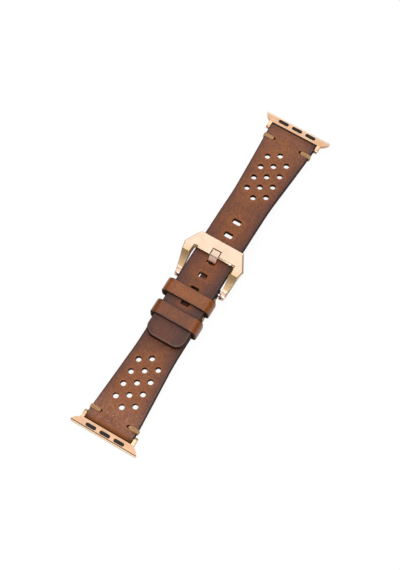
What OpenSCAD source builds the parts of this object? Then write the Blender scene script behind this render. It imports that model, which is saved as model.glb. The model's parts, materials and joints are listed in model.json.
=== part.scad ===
// Leather watch strap with two slide-in lug adapters, lying flat and buckled.
// X runs along the strap from the short half's adapter to the long half's,
// Y across it, and Z up from the surface that it lies on.

/* [Leather] */
// Length of the short half, from its lug bar to the buckle bar
short_length = 77.6; // [70:0.2:90]
// Length of the long half, from its lug bar to its tip
long_length = 119.4; // [114:0.2:130]
// Width of the leather between the adapter's arms
lug_w = 24; // [22:0.5:26]
// Width of the leather from the end of the taper on
tail_w = 19.6; // [18:0.2:20.6]
// Distance from a lug bar to where the taper ends
taper_length = 38; // [30:1:44]
// Radius that blends the taper into the parallel part
taper_blend = 150; // [60:10:200]
// Thickness of the top leather
outer_t = 1.7; // [1.4:0.1:2.2]
// Thickness of the lining, and of the flaps turned back
lining_t = 1.5; // [1.2:0.1:1.8]
// Thickness of the leather where it is pared to go round a bar
fold_t = 1.45; // [1.2:0.05:1.7]
// Distance behind a lug bar at which the two layers meet
fold_reach = 3.4; // [3:0.1:4.4]
// Length of the flap turned back at each lug
lug_flap = 7.6; // [6.6:0.1:7.8]
// Length of the flap turned back at the buckle
buckle_flap = 18.2; // [17:0.2:22]
// Radius of the corners of the long half's tip
tip_r = 5; // [3:0.5:8]

/* [Holes] */
// Number of buckle holes
hole_count = 7; // [6:1:7]
// Buckle hole that the tongue is in, counted from the tip
hole_used = 4; // [3:1:5]
// Distance between buckle holes
hole_pitch = 7.7; // [7:0.1:8]
// Distance from the tip to the first buckle hole
hole_first = 20.8; // [18:0.2:24]
// Size of a buckle hole along the strap
hole_l = 2.7; // [2.6:0.1:3.2]
// Play of the tongue in its hole, on both sides together
hole_play = 0.4; // [0.3:0.1:0.8]
// Corner radius of a buckle hole
hole_r = 0.6; // [0.3:0.1:0.6]
// Diameter of the vent holes
vent_d = 2.6; // [2:0.1:3.4]
// Distance between vent holes along a row
vent_pitch = 6.5; // [5:0.1:7]
// Distance between the three rows of vent holes
vent_row = 5.1; // [4:0.1:5.6]
// Distance from the short half's lug bar to its first vent hole
vent_start_short = 9.6; // [9:0.1:14]
// Distance from the long half's lug bar to its first vent hole
vent_start_long = 11.4; // [9:0.1:14]

/* [Keepers] */
// Width of each keeper along the strap
keeper_w = 7; // [5:0.2:7.4]
// Thickness of the keeper leather
keeper_t = 1.6; // [1.2:0.1:1.8]
// Outer corner radius of a keeper
keeper_r = 2.2; // [1.8:0.1:2.6]
// Distance from the buckle bar to the middle of the fixed keeper
fixed_keeper_at = 9.1; // [8.8:0.1:9.4]
// Gap between the two keepers where the loose one lies
keeper_gap = 4.4; // [3.8:0.1:8]
// Play between a keeper and the edges of the leather
keeper_play = 0.35; // [0.2:0.05:0.5]

/* [Thread] */
// Thickness of the stitching thread
thread_t = 0.6; // [0.5:0.05:0.7]
// Width of the three turns of thread in each stitch
stitch_w = 1.9; // [1.6:0.1:2.1]
// Distance from the edge of the leather to a stitch hole
stitch_reach = 4.8; // [4:0.1:5.4]
// Distance from the short half's lug bar to its stitches
short_stitch_at = 3.6; // [3.4:0.1:6]
// Distance from the long half's lug bar to its stitches
long_stitch_at = 5; // [3.4:0.1:6]
// Distance from the buckle bar to the stitches beside it
bar_stitch_at = 4; // [3.8:0.1:4.2]
// Gap between the fixed keeper and the stitches beside it
keeper_stitch_gap = 0.7; // [0.6:0.1:1]

/* [Buckle] */
// Diameter of the buckle bar
buckle_bar_d = 1.8; // [1.6:0.1:2]
// Inside width of the frame at the front
opening_w = 20.2; // [20:0.1:21]
// Inside width of the frame between the ears
ear_gap = 21.4; // [21.2:0.1:22]
// Width of the frame across the ears
ear_span = 25.1; // [24.8:0.1:26]
// Width of the frame at its widest
frame_w = 30.7; // [29:0.1:32]
// Width of the frame's straight front edge
front_w = 22.1; // [20:0.1:24]
// Distance from the bar to the inner edge of the front
opening_l = 12.5; // [12.4:0.1:14]
// Width of the front, along the strap
front_l = 7.9; // [6.5:0.1:9]
// Thickness of the front
front_t = 2.5; // [2.2:0.1:3]
// Distance from the bar to where the arms bend down
bend_at = 8.8; // [8:0.1:9.4]
// Radius of the ears
ear_r = 1.85; // [1.7:0.05:1.95]
// Length of an ear's level top in front of the bar
ear_l = 1.2; // [1:0.1:1.6]
// Hollow of the arms' sloping faces
arm_sag = 0.35; // [0:0.05:0.6]
// Bevel along the inner edges of the frame
rim_bevel = 0.75; // [0.4:0.05:0.9]
// Bevel along the outer edges of the frame
edge_bevel = 0.25; // [0.1:0.05:0.4]
// Width of the tongue
tongue_w = 4.1; // [3.6:0.1:4.6]
// Thickness of the tongue
tongue_t = 1.4; // [1.2:0.1:1.5]
// Length that the tongue lies on the front
tongue_lap = 3; // [2.4:0.1:3.6]
// Height of the tongue above the front
tongue_proud = 0.1; // [0:0.05:0.3]
// Gap round the tongue's tip in its notch
notch_gap = 0.25; // [0.15:0.05:0.4]

/* [Lug adapter] */
// Length of the adapter across the strap, tip to tip
plate_w = 34; // [33:0.1:36]
// Width of the plate along the strap, with its lip
plate_l = 4.1; // [3.9:0.05:4.5]
// Thickness of the plate
plate_t = 2.4; // [2.3:0.1:2.8]
// Height of the plate's top above the lug bar
plate_rise = 0.9; // [0.8:0.1:1.1]
// Width of the lip along the plate's outer edge
lip_l = 0.65; // [0.4:0.05:0.8]
// Depth of the lip below the plate's top
lip_drop = 0.6; // [0.4:0.05:0.8]
// Hollow between an arm and the plate's tip
root_r = 0.6; // [0.4:0.05:0.8]
// Swell of the edge from an arm to the plate's tip
horn_swell = 0.5; // [0.2:0.05:0.7]
// Thickness of each arm
arm_t = 1.55; // [1.3:0.05:1.8]
// Radius of an arm's round end
arm_r = 1.25; // [1.1:0.05:1.4]
// Diameter of the lug bar
lug_bar_d = 1.5; // [1.4:0.05:1.7]
// Play between the leather and each arm
lug_play = 0.15; // [0.1:0.05:0.3]
// Gap between the folded leather and the plate
plate_gap = 0.3; // [0.2:0.05:0.6]
// Distance from the plate's inner edge to the middle of the pads
pad_at = 2.09; // [1.9:0.01:2.2]
// Length of the pads and of the latch button
pad_l = 5.3; // [4.8:0.1:5.6]
// Width of the pads and of the latch button
pad_w = 1.7; // [1.5:0.05:1.8]
// Distance between the pads and the latch button
pad_pitch = 7.24; // [7:0.02:7.6]
// Depth that the pads are let into the plate
pad_depth = 1; // [0.6:0.1:1.4]
// Depth of the pads' tops below the plate's face
pad_recess = 0.1; // [0.05:0.05:0.2]

/* [Screws] */
// Radius of the buckle screws' heads
buckle_head_r = 1; // [0.9:0.05:1.05]
// Radius of the lug screws' heads
lug_head_r = 0.85; // [0.75:0.05:0.95]
// Height of the screws' heads
screw_head_h = 0.5; // [0.4:0.05:0.6]
// Radius of the screws' shanks
screw_r = 0.5; // [0.45:0.01:0.52]
// Length of a screw's shank inside its bar
screw_grip = 2.6; // [2:0.1:4]

/* [Hidden] */

$fn = 64;
far = 60;            // reach of a cutter that only has to pass through
lap = 0.1;           // gap between layers that lie on each other
bar_clear = 0.08;    // running clearance round a bar
seat_clear = 0.05;   // clearance round a piece that sits in a recess
leather_colour = "#8a4b2a";
lining_colour = "#b98a5a";
keeper_colour = "#9a5a30";
thread_colour = "#a57c46";
gold_colour = "#e6bf98";
satin_colour = "#ecd0b4";
black_colour = "#2b2926";
steel_colour = "#b8b8b4";

// Heights. The keepers' undersides lie on the surface, at z = 0.
strap_t = outer_t + lining_t;
lug_hole_r = lug_bar_d / 2 + bar_clear;
lug_fold_r = lug_hole_r + fold_t;
pin_hole_r = buckle_bar_d / 2 + bar_clear;
pin_fold_r = pin_hole_r + fold_t;
z_short = keeper_t + lap;                               // underside of the short half
z_pin = max(pin_fold_r, z_short + strap_t - pin_fold_r);
z_long = max(z_pin + pin_fold_r, z_short + strap_t) + lap;   // underside of the long half
z_lug = max(lug_fold_r, plate_t - plate_rise) + lap;

// Places along the strap. The buckle bar is at x = 0 until the whole is centred.
x_short_lug = -short_length;
x_hole_used = opening_l - 2.25;                         // middle of the hole that the tongue is in
x_tip = x_hole_used - hole_first - (hole_used - 1) * hole_pitch;
x_long_lug = x_tip + long_length;
plate_in = lug_fold_r + plate_gap;                      // from a lug bar to the plate's inner edge
plate_out = plate_in + plate_l;
x_middle = (x_short_lug + x_long_lug) / 2;
x_fixed_keeper = -fixed_keeper_at;
x_floating_keeper = x_fixed_keeper - keeper_w - keeper_gap;
x_front = opening_l + front_l;

// The line that each half's middle follows, as heights at even stations.
stations = 24;
ramp_short = taper_length + 2;
ramp_long = x_long_lug - x_front - 2;
function ease(u) = let (v = min(max(u, 0), 1)) v * v * (3 - 2 * v);
function short_height(d) = z_lug + (z_short + strap_t / 2 - z_lug) * ease((d - fold_reach) / (ramp_short - fold_reach));
function long_height(d) = z_lug + (z_long + strap_t / 2 - z_lug) * ease((d - fold_reach) / (ramp_long - fold_reach));
function step_of(long) = ((long ? ramp_long : ramp_short) - fold_reach) / stations;
function height(d, long) = long ? long_height(d) : short_height(d);
function middle(d, long) =
    let (s = step_of(long), k = floor((d - fold_reach) / s), f = (d - fold_reach) / s - k)
    height(fold_reach + k * s, long) * (1 - f) + height(fold_reach + (k + 1) * s, long) * f;
function between(a, b, long) =
    concat([a], [for (k = [0 : stations]) let (d = fold_reach + k * step_of(long)) if (d > a + 0.01 && d < b - 0.01) d], [b]);
// A layer from distance a to b, between two heights above the middle line.
function layer(a, b, low, high, long) = concat(
    [for (d = between(a, b, long)) [d, middle(d, long) + high]],
    [for (i = [len(between(a, b, long)) - 1 : -1 : 0]) let (d = between(a, b, long)[i]) [d, middle(d, long) + low]]);

top_at = strap_t / 2;              // the layers' heights above the middle line
joint_at = strap_t / 2 - outer_t;
base_at = -strap_t / 2;
glued = 0.2;                       // depth by which a flap reaches into the top leather that it is part of

// The point where a line from p touches a circle of radius r round the origin.
function touch(p, r, side) = let (a = atan2(p[1], p[0]) + side * acos(r / norm(p))) [r * cos(a), r * sin(a)];

// The same outline, always wound the same way round.
function turning(p) = let (n = len(p)) [for (i = [0 : n - 1]) cross(p[i], p[(i + 1) % n])] * [for (i = [0 : n - 1]) 1];
function reversed(p) = [for (i = [len(p) - 1 : -1 : 0]) p[i]];
function flipped(p) = [for (i = [len(p) - 1 : -1 : 0]) [p[i][0], -p[i][1]]];
function arc(centre, r, from, to, steps) = [for (k = [0 : steps])
    let (a = from + (to - from) * k / steps) centre + r * [cos(a), sin(a)]];
module outline(p) { polygon(turning(p) > 0 ? p : reversed(p)); }

// Side views, drawn in X and Z, as solids of width w across the strap.
module across(w) {
    for (i = [0 : $children - 1]) rotate([90, 0, 0]) linear_extrude(w, center = true) children(i);
}
module both_sides() { children(); mirror([0, 1, 0]) children(); }
module at_short_lug() { translate([x_short_lug, 0, z_lug]) mirror([1, 0, 0]) children(); }
module at_long_lug() { translate([x_long_lug, 0, z_lug]) children(); }
module rounded_slot(l, w, r) {
    square([l, w - 2 * r], center = true);
    square([l - 2 * r, w], center = true);
    for (x = [-1, 1], y = [-1, 1]) translate([x * (l / 2 - r), y * (w / 2 - r)]) circle(r);
}
module obround(l, w) {
    square([w, l - w], center = true);
    for (y = [-1, 1]) translate([0, y * (l - w) / 2]) circle(w / 2);
}

// A leather loop round a bar at the origin, seen from the side, with its layers running to +x.
module fold(r, hole_r, reach, high, low, meet) {
    difference() {
        union() {
            circle(r);
            outline([[0, 0], touch([reach, high], r, 1), [reach, high], [reach, low], touch([reach, low], r, -1)]);
        }
        circle(hole_r);
        outline([[0, 0], touch(meet, hole_r, 1), meet, touch(meet, hole_r, -1)]);
    }
}
module lug_fold() {
    fold(lug_fold_r, lug_hole_r, fold_reach, top_at, base_at, [fold_reach - 0.6, joint_at]);
}

// Plan of one half, with its lug bar at the origin and the leather running to +x.
taper_angle = atan2((lug_w - tail_w) / 2, taper_length - fold_reach);
taper_tangent = taper_blend * tan(taper_angle / 2);
function taper_edge() = concat([[-lug_fold_r - 1, lug_w / 2], [fold_reach, lug_w / 2]],
    [for (k = [0 : 6]) let (a = taper_angle * (1 - k / 6))
        [taper_length + taper_tangent - taper_blend * sin(a), tail_w / 2 + taper_blend * (1 - cos(a))]]);
module half_plan(length) {
    edge = concat(taper_edge(), [[length, tail_w / 2]]);
    outline(concat(edge, flipped(edge)));
}
module vents(start) {
    for (row = [-1, 0, 1], k = [0 : row == 0 ? 4 : 3])
        translate([start + (k + (row == 0 ? 0 : 0.5)) * vent_pitch, row * vent_row]) circle(vent_d / 2);
}
function hole_at(k) = long_length - hole_first - k * hole_pitch;
module long_plan() {
    difference() {
        half_plan(long_length);
        vents(vent_start_long);
        for (k = [0 : hole_count - 1]) translate([hole_at(k), 0]) rounded_slot(hole_l, tongue_w + hole_play, hole_r);
        for (side = [-1, 1]) translate([long_length - tip_r, side * (tail_w / 2 - tip_r)])
            difference() {
                translate([tip_r, side * tip_r]) square(2 * tip_r, center = true);
                circle(tip_r);
            }
    }
}
module short_plan() {
    difference() {
        half_plan(short_length + pin_fold_r + 1);
        vents(vent_start_short);
    }
}

// Stitches: each is three turns of thread round the edge of the leather and through a hole.
sunk = thread_t / 2 + seat_clear;            // depth of the thread's middle below the leather
module stitch_ring(inside, outside, low, high, grow) {
    translate([-stitch_w / 2 - grow, 0, 0]) rotate([90, 0, 90]) linear_extrude(stitch_w + 2 * grow)
        difference() {
            translate([(inside + outside) / 2, (low + high) / 2])
                rounded_slot(outside - inside + thread_t + 2 * grow, high - low + thread_t + 2 * grow, thread_t);
            if (grow == 0) translate([(inside + outside) / 2, (low + high) / 2])
                rounded_slot(outside - inside - thread_t, high - low - thread_t, 0.2);
        }
}
module stitch(edge, low, high) {
    stitch_ring(edge - stitch_reach, edge + thread_t / 2 + seat_clear, low, high, 0);
}
// What a stitch takes out of the leather: its hole, and a groove above and below.
module stitch_cut(edge, low, high) {
    w = stitch_w + 2 * seat_clear;
    inner = edge - stitch_reach - sunk;
    for (z = [low, high]) translate([-w / 2, inner, z - sunk]) cube([w, stitch_reach + 2, 2 * sunk]);
    translate([-w / 2, inner, low]) cube([w, 2 * sunk, high - low]);
}
function edge_at(d) = lug_w / 2 - max(0, d - fold_reach) * tan(taper_angle);
// Heights of a stitch's two sides at distance d from a lug bar.
function stitch_edge(d) = edge_at(d - stitch_w / 2);
function stitch_low(d, long) = middle(d, long) + base_at + sunk;
function stitch_high(d, long) = middle(d, long) + top_at - sunk;
module lug_stitch_cuts(d, long) {
    translate([d, 0, 0]) both_sides() stitch_cut(stitch_edge(d), stitch_low(d, long), stitch_high(d, long));
}
module lug_stitch_pair(d, long) {
    color(thread_colour) translate([d, 0, 0]) both_sides()
        stitch(stitch_edge(d), stitch_low(d, long), stitch_high(d, long));
}
keeper_stitch_at = fixed_keeper_at + keeper_w / 2 + keeper_stitch_gap + stitch_w / 2;
buckle_stitch_high = z_short + strap_t - sunk;
// Places of the buckle end's stitches, each with the height of its lower side.
buckle_stitch_rows = [[bar_stitch_at, sunk + lap], [keeper_stitch_at, z_short + sunk]];

// Flap at the buckle end, seen from the side: it dips under the fixed keeper.
pocket = keeper_w / 2 + lap;       // half the length of the fixed keeper's pocket
flap_top = z_short + lining_t;     // the underside of the top leather
dip_top = flap_top - keeper_t - lap;
dip_base = dip_top - lining_t;
dip_end = x_fixed_keeper - pocket - 0.15;
web = x_fixed_keeper + pocket;     // from here to the bar the two layers are glued
module buckle_flap_side() {
    difference() {
        outline([[-buckle_flap, flap_top + glued], [-buckle_flap, z_short], [dip_end - 0.4, z_short],
            [dip_end, dip_base], [web + 0.3, dip_base], [web + 0.3, flap_top + glued]]);
        translate([x_fixed_keeper - pocket, dip_top]) square([2 * pocket, flap_top - dip_top]);
    }
}
module buckle_fold_side() {
    translate([0, z_pin]) mirror([1, 0])
        fold(pin_fold_r, pin_hole_r, -web, z_short + strap_t - z_pin, dip_base - z_pin, [pin_fold_r + 0.3, 0]);
}
module tongue_slot() {
    translate([-tongue_root_r - 0.4, -(tongue_w + hole_play) / 2, -1]) cube([far, tongue_w + hole_play, far]);
}
module short_strap_outer() {
    color(leather_colour) difference() {
        intersection() {
            union() {
                across(far) {
                    translate([x_short_lug, z_lug]) lug_fold();
                    translate([x_short_lug, 0]) outline(layer(fold_reach, short_length + web, joint_at, top_at, false));
                    translate([x_short_lug, 0]) outline(layer(fold_reach, lug_flap, base_at, joint_at + glued, false));
                    buckle_flap_side();
                    buckle_fold_side();
                }
            }
            translate([x_short_lug, 0, -1]) linear_extrude(far) short_plan();
        }
        tongue_slot();
        translate([x_short_lug, 0, 0]) lug_stitch_cuts(short_stitch_at, false);
        for (row = buckle_stitch_rows) translate([-row[0], 0, 0])
            both_sides() stitch_cut(tail_w / 2, row[1], buckle_stitch_high);
    }
}
module short_strap_lining() {
    color(lining_colour) intersection() {
        translate([x_short_lug, 0, 0]) across(far)
            outline(layer(lug_flap, short_length - buckle_flap, base_at, joint_at, false));
        translate([x_short_lug, 0, -1]) linear_extrude(far) short_plan();
    }
}

module long_half() { translate([x_long_lug, 0, 0]) mirror([1, 0, 0]) children(); }
module long_strap_outer() {
    color(leather_colour) long_half() difference() {
        intersection() {
            union() {
                across(far) {
                    translate([0, z_lug]) lug_fold();
                    outline(layer(fold_reach, long_length + 1, joint_at, top_at, true));
                    outline(layer(fold_reach, lug_flap, base_at, joint_at + glued, true));
                }
            }
            translate([0, 0, -1]) linear_extrude(far) long_plan();
        }
        lug_stitch_cuts(long_stitch_at, true);
    }
}
module long_strap_lining() {
    color(lining_colour) long_half() intersection() {
        across(far) outline(layer(lug_flap, long_length + 1, base_at, joint_at, true));
        translate([0, 0, -1]) linear_extrude(far) long_plan();
    }
}

module short_lug_stitches() { translate([x_short_lug, 0, 0]) lug_stitch_pair(short_stitch_at, false); }
module long_lug_stitches() { long_half() lug_stitch_pair(long_stitch_at, true); }
module buckle_stitches() {
    color(thread_colour) for (row = buckle_stitch_rows) translate([-row[0], 0, 0])
        both_sides() stitch(tail_w / 2, row[1], buckle_stitch_high);
}

// Keepers: leather strips closed into a loop, with the butt joint underneath.
seam = 0.2;
keeper_in_r = 0.45;
keeper_in = tail_w + 2 * keeper_play;
keeper_top = z_long + strap_t + lap + keeper_t;
module keeper(base) {
    h = keeper_top - base;
    difference() {
        translate([0, 0, base + h / 2]) rotate([90, 0, 90]) linear_extrude(keeper_w, center = true) difference() {
            rounded_slot(keeper_in + 2 * keeper_t, h, keeper_r);
            rounded_slot(keeper_in, h - 2 * keeper_t, keeper_in_r);
        }
        translate([0, 0, base]) cube([far, seam, 3 * keeper_t], center = true);
    }
}
module fixed_keeper() { color(keeper_colour) translate([x_fixed_keeper, 0, 0]) keeper(dip_top + lap / 2); }
module floating_keeper() { color(keeper_colour) translate([x_floating_keeper, 0, 0]) keeper(0); }

// Buckle frame: its plan cut by its side view, with the bar's axis at the origin.
front_base = z_long + strap_t + lap + 0.05 - z_pin;
front_top = front_base + front_t;
arm_steps = 8;
arm_thick = front_t;                        // thickness of the arms, square to their slope
arm_slope = atan2(front_top - ear_r, bend_at - ear_l);
function arm_point(u) = [ear_l + (bend_at - ear_l) * u + arm_sag * sin(arm_slope) * sin(180 * u),
    ear_r + (front_top - ear_r) * u - arm_sag * cos(arm_slope) * sin(180 * u)];
function under(p) = p + arm_thick * [sin(arm_slope), -cos(arm_slope)];
foot = under([ear_l, ear_r]);
knee_x = under([bend_at, front_top])[0] - (under([bend_at, front_top])[1] - front_base) / tan(arm_slope);
module frame_side() {
    circle(ear_r);
    outline(concat([[0, -ear_r], [0, ear_r]], [for (k = [0 : arm_steps]) arm_point(k / arm_steps)],
        [[x_front, front_top], [x_front, front_base], [knee_x, front_base], foot,
            [ear_l, -ear_r]]));
}
widest_x = opening_l + 0.25;
function frame_edge() = [[-ear_r, ear_span / 2], [widest_x, frame_w / 2], [x_front, front_w / 2]];
module frame_plan() {
    difference() {
        outline(concat(frame_edge(), flipped(frame_edge())));
        outline([[-far, ear_gap / 2], [ear_r, ear_gap / 2], [opening_l, opening_w / 2],
            [opening_l, -opening_w / 2], [ear_r, -ear_gap / 2], [-far, -ear_gap / 2]]);
    }
}
// Cuts a bevel along the edge from a to b, whose outer side is on the left.
module edge_cut(a, b, size) {
    step = b - a;
    over = 0.4;
    translate(a) rotate([0, 0, atan2(step[1], step[0])]) rotate([0, -asin(step[2] / norm(step)), 0])
        translate([-over, 0, 0]) rotate([90, 0, 90]) linear_extrude(norm(step) + 2 * over)
            outline([[-size - over, over], [over, -size - over], [over, over]]);
}
function edge_y(x) = ear_span / 2 + (x + ear_r) * (frame_w - ear_span) / 2 / (widest_x + ear_r);
function rim_y(x) = ear_gap / 2 + (x - ear_r) * (opening_w - ear_gap) / 2 / (opening_l - ear_r);
module frame_bevels() {
    knee = [bend_at, edge_y(bend_at), front_top];
    side = [widest_x, frame_w / 2, front_top];
    nose = [x_front, front_w / 2, front_top];
    rim = [opening_l, opening_w / 2, front_top];
    both_sides() {
        edge_cut([ear_l, edge_y(ear_l), ear_r], knee, edge_bevel);
        edge_cut(knee, side, edge_bevel);
        edge_cut(side, nose, edge_bevel);
        edge_cut(rim, [bend_at, rim_y(bend_at), front_top], rim_bevel);
    }
    edge_cut(nose, [x_front, -front_w / 2, front_top], edge_bevel);
    edge_cut([opening_l, -opening_w / 2, front_top], rim, rim_bevel);
}
screw_hole_r = screw_r + seat_clear;
ear_face = ear_span / 2 - screw_head_h;     // what the buckle screws' heads sit on
module screw_holes() { rotate([90, 0, 0]) cylinder(r = screw_hole_r, h = 2 * far, center = true); }
module buckle_frame() {
    color(satin_colour) translate([0, 0, z_pin]) difference() {
        intersection() {
            union() across(far) frame_side();
            translate([0, 0, -far / 2]) linear_extrude(far) frame_plan();
        }
        frame_bevels();
        screw_holes();
        both_sides() translate([0, ear_face, 0]) rotate([-90, 0, 0])
            cylinder(r = buckle_head_r + seat_clear, h = far);
        translate([0, -tongue_w / 2 - notch_gap, tongue_base - notch_gap / 4])
            cube([opening_l + tongue_lap + notch_gap, tongue_w + 2 * notch_gap, far]);
    }
}

// Tongue: a barrel on the bar, a level shank, a riser through the hole and a tip on the front.
tongue_root_r = pin_hole_r + 0.92;
tongue_top = front_top + tongue_proud;
tongue_base = tongue_top - tongue_t;
riser_x = x_hole_used + hole_l / 2 - 0.25;          // face of the riser towards the front
riser_t = tongue_t - 0.05;
riser_top = front_base + 0.05;
shank_t = tongue_t;
module tongue_side() {
    circle(tongue_root_r);
    outline([[0, -shank_t / 2], [riser_x, -shank_t / 2], [riser_x, riser_top - 0.15],
        [opening_l - 0.06, tongue_base], [opening_l + tongue_lap, tongue_base],
        [opening_l + tongue_lap, tongue_top - 0.3], [opening_l + tongue_lap - 0.3, tongue_top],
        [opening_l - 0.3, tongue_top], [opening_l - 0.55, tongue_top - 0.12],
        [riser_x - riser_t, riser_top - 0.1], [riser_x - riser_t, shank_t / 2], [0, shank_t / 2]]);
}
module buckle_tongue() {
    color(satin_colour) translate([0, 0, z_pin]) difference() {
        across(tongue_w) tongue_side();
        rotate([90, 0, 0]) cylinder(r = pin_hole_r, h = far, center = true);
    }
}

// Bars are rods tapped at both ends, and a slotted screw holds each end.
module bar(d, length) {
    color(steel_colour) rotate([90, 0, 0]) difference() {
        cylinder(r = d / 2, h = length, center = true);
        for (end = [0, 1]) mirror([0, 0, end]) translate([0, 0, length / 2 - screw_grip - 0.3])
            cylinder(r = screw_hole_r, h = far);
    }
}
slot_w = 0.3;
module screws(face, length, head_r) {
    color(gold_colour) both_sides() translate([0, length / 2 - screw_grip, 0]) rotate([-90, 0, 0]) difference() {
        union() {
            cylinder(r = screw_r, h = face - length / 2 + screw_grip + screw_head_h);
            translate([0, 0, face - length / 2 + screw_grip]) cylinder(r = head_r, h = screw_head_h);
        }
        translate([0, 0, face - length / 2 + screw_grip + screw_head_h])
            cube([slot_w, 3 * head_r, 0.5 * screw_head_h], center = true);
    }
}
buckle_bar_length = ear_gap - 2 * seat_clear;
lug_bar_length = lug_w + 2 * lug_play - 2 * seat_clear;
module buckle_bar() { translate([0, 0, z_pin]) bar(buckle_bar_d, buckle_bar_length); }
module buckle_screws() { translate([0, 0, z_pin]) screws(ear_face, buckle_bar_length, buckle_head_r); }

// Lug adapter, with its bar's axis at the origin and the plate towards +x.
arm_in = lug_w / 2 + lug_play;
arm_out = arm_in + arm_t;
lug_face = arm_out - screw_head_h;           // what the lug screws' heads sit on
plate_top = plate_rise;
plate_base = plate_rise - plate_t;
ridge_x = plate_out - lip_l;
pad_x = plate_in + pad_at;
module adapter_side() {
    circle(arm_r);
    outline([[0, -arm_r], [0, arm_r], [plate_in, plate_top], [ridge_x, plate_top],
        [ridge_x + 0.1, plate_top - lip_drop], [plate_out, plate_top - lip_drop - 0.2],
        [plate_out, plate_base + 0.5], [plate_out - 0.6, plate_base], [plate_in, plate_base]]);
}
// Plan of the plate and its arms: the tips swell out from a small hollow beside each arm.
tip_r_plate = 0.5;
horn_root = [plate_in + 0.5, arm_out];
horn_end = [plate_out - tip_r_plate, plate_w / 2];
horn_run = horn_end - horn_root;
horn_r = norm(horn_run) * norm(horn_run) / (8 * horn_swell) + horn_swell / 2;
horn_half = asin(norm(horn_run) / 2 / horn_r);
horn_slant = atan2(horn_run[1], horn_run[0]);
horn_centre = (horn_root + horn_end) / 2 - (horn_r - horn_swell) * [-sin(horn_slant), cos(horn_slant)];
root_turn = horn_slant + horn_half;
module adapter_plan() {
    half = concat([[plate_in, arm_in], [-arm_r - 1, arm_in], [-arm_r - 1, arm_out]],
        arc(horn_root + [-root_r * tan(root_turn / 2), root_r], root_r, -90, root_turn - 90, 4),
        arc(horn_centre, horn_r, 90 + root_turn - horn_half / 3, 90 + horn_slant - horn_half, 5),
        arc([plate_out - tip_r_plate, plate_w / 2 - tip_r_plate], tip_r_plate, 80, 0, 3));
    outline(concat(half, flipped(half)));
}
latch_lip = 0.6;                             // plate left above the latch's flange
flange_t = 0.4;
cover_t = 0.4;
flange_over = 0.2;                           // the flange is this much larger all round than the button
flange_l = pad_l + 2 * flange_over;
flange_w = pad_w + 2 * flange_over;
flange_top = plate_top - latch_lip - seat_clear;
module adapter_frame() {
    color(gold_colour) difference() {
        intersection() {
            union() across(far) adapter_side();
            translate([0, 0, -far / 2]) linear_extrude(far) adapter_plan();
        }
        screw_holes();
        both_sides() translate([0, lug_face, 0]) rotate([-90, 0, 0]) cylinder(r = lug_head_r + seat_clear, h = far);
        translate([pad_x, 0, plate_base - 1]) linear_extrude(far) obround(pad_l, pad_w);
        translate([pad_x, 0, plate_base - 1]) linear_extrude(plate_t - latch_lip + 1)
            obround(flange_l + 2 * seat_clear, flange_w + 2 * seat_clear);
        for (side = [-1, 1]) translate([pad_x, side * pad_pitch, plate_top - pad_depth])
            linear_extrude(far) obround(pad_l, pad_w);
    }
}
module adapter_pads() {
    color(black_colour) for (side = [-1, 1]) translate([pad_x, side * pad_pitch, plate_top - pad_depth])
        linear_extrude(pad_depth - pad_recess) obround(pad_l - 2 * seat_clear, pad_w - 2 * seat_clear);
}
module latch_button() {
    color(black_colour) translate([pad_x, 0, 0]) {
        translate([0, 0, flange_top - flange_t]) linear_extrude(flange_t) obround(flange_l, flange_w);
        translate([0, 0, flange_top - 0.01]) linear_extrude(plate_top - pad_recess / 2 - flange_top)
            obround(pad_l - 2 * seat_clear, pad_w - 2 * seat_clear);
    }
}
module latch_cover() {
    color(gold_colour) translate([pad_x, 0, plate_base]) linear_extrude(cover_t) obround(flange_l, flange_w);
}
// Leaf spring, bowed up from the cover to the button's flange.
leaf_t = 0.12;
leaf_w = 1.5;
leaf_half = flange_l / 2 - 0.4;
module latch_spring() {
    base = plate_base + cover_t + 0.02;
    rise = flange_top - flange_t - 0.02 - base - leaf_t;
    color(steel_colour) translate([pad_x, 0, base]) rotate([90, 0, 90]) linear_extrude(leaf_w, center = true)
        outline(concat([for (k = [-8 : 8]) [k / 8 * leaf_half, rise * pow(cos(11.25 * k), 2) + leaf_t]],
            [for (k = [8 : -1 : -8]) [k / 8 * leaf_half, rise * pow(cos(11.25 * k), 2)]]));
}

module short_adapter_frame() { at_short_lug() adapter_frame(); }
module short_adapter_pads() { at_short_lug() adapter_pads(); }
module short_lug_bar() { at_short_lug() bar(lug_bar_d, lug_bar_length); }
module short_lug_screws() { at_short_lug() screws(lug_face, lug_bar_length, lug_head_r); }
module short_latch_button() { at_short_lug() latch_button(); }
module short_latch_spring() { at_short_lug() latch_spring(); }
module short_latch_cover() { at_short_lug() latch_cover(); }
module long_adapter_frame() { at_long_lug() adapter_frame(); }
module long_adapter_pads() { at_long_lug() adapter_pads(); }
module long_lug_bar() { at_long_lug() bar(lug_bar_d, lug_bar_length); }
module long_lug_screws() { at_long_lug() screws(lug_face, lug_bar_length, lug_head_r); }
module long_latch_button() { at_long_lug() latch_button(); }
module long_latch_spring() { at_long_lug() latch_spring(); }
module long_latch_cover() { at_long_lug() latch_cover(); }

module centred() { translate([-x_middle, 0, 0]) children(); }
centred() short_strap_outer();
centred() short_strap_lining();
centred() long_strap_outer();
centred() long_strap_lining();
centred() fixed_keeper();
centred() floating_keeper();
centred() short_lug_stitches();
centred() long_lug_stitches();
centred() buckle_stitches();
centred() buckle_frame();
centred() buckle_tongue();
centred() buckle_bar();
centred() buckle_screws();
centred() short_adapter_frame();
centred() short_adapter_pads();
centred() short_lug_bar();
centred() short_lug_screws();
centred() short_latch_button();
centred() short_latch_spring();
centred() short_latch_cover();
centred() long_adapter_frame();
centred() long_adapter_pads();
centred() long_lug_bar();
centred() long_lug_screws();
centred() long_latch_button();
centred() long_latch_spring();
centred() long_latch_cover();
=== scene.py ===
import json
import math
import bpy
import numpy as np
from mathutils import Matrix, Vector

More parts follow.
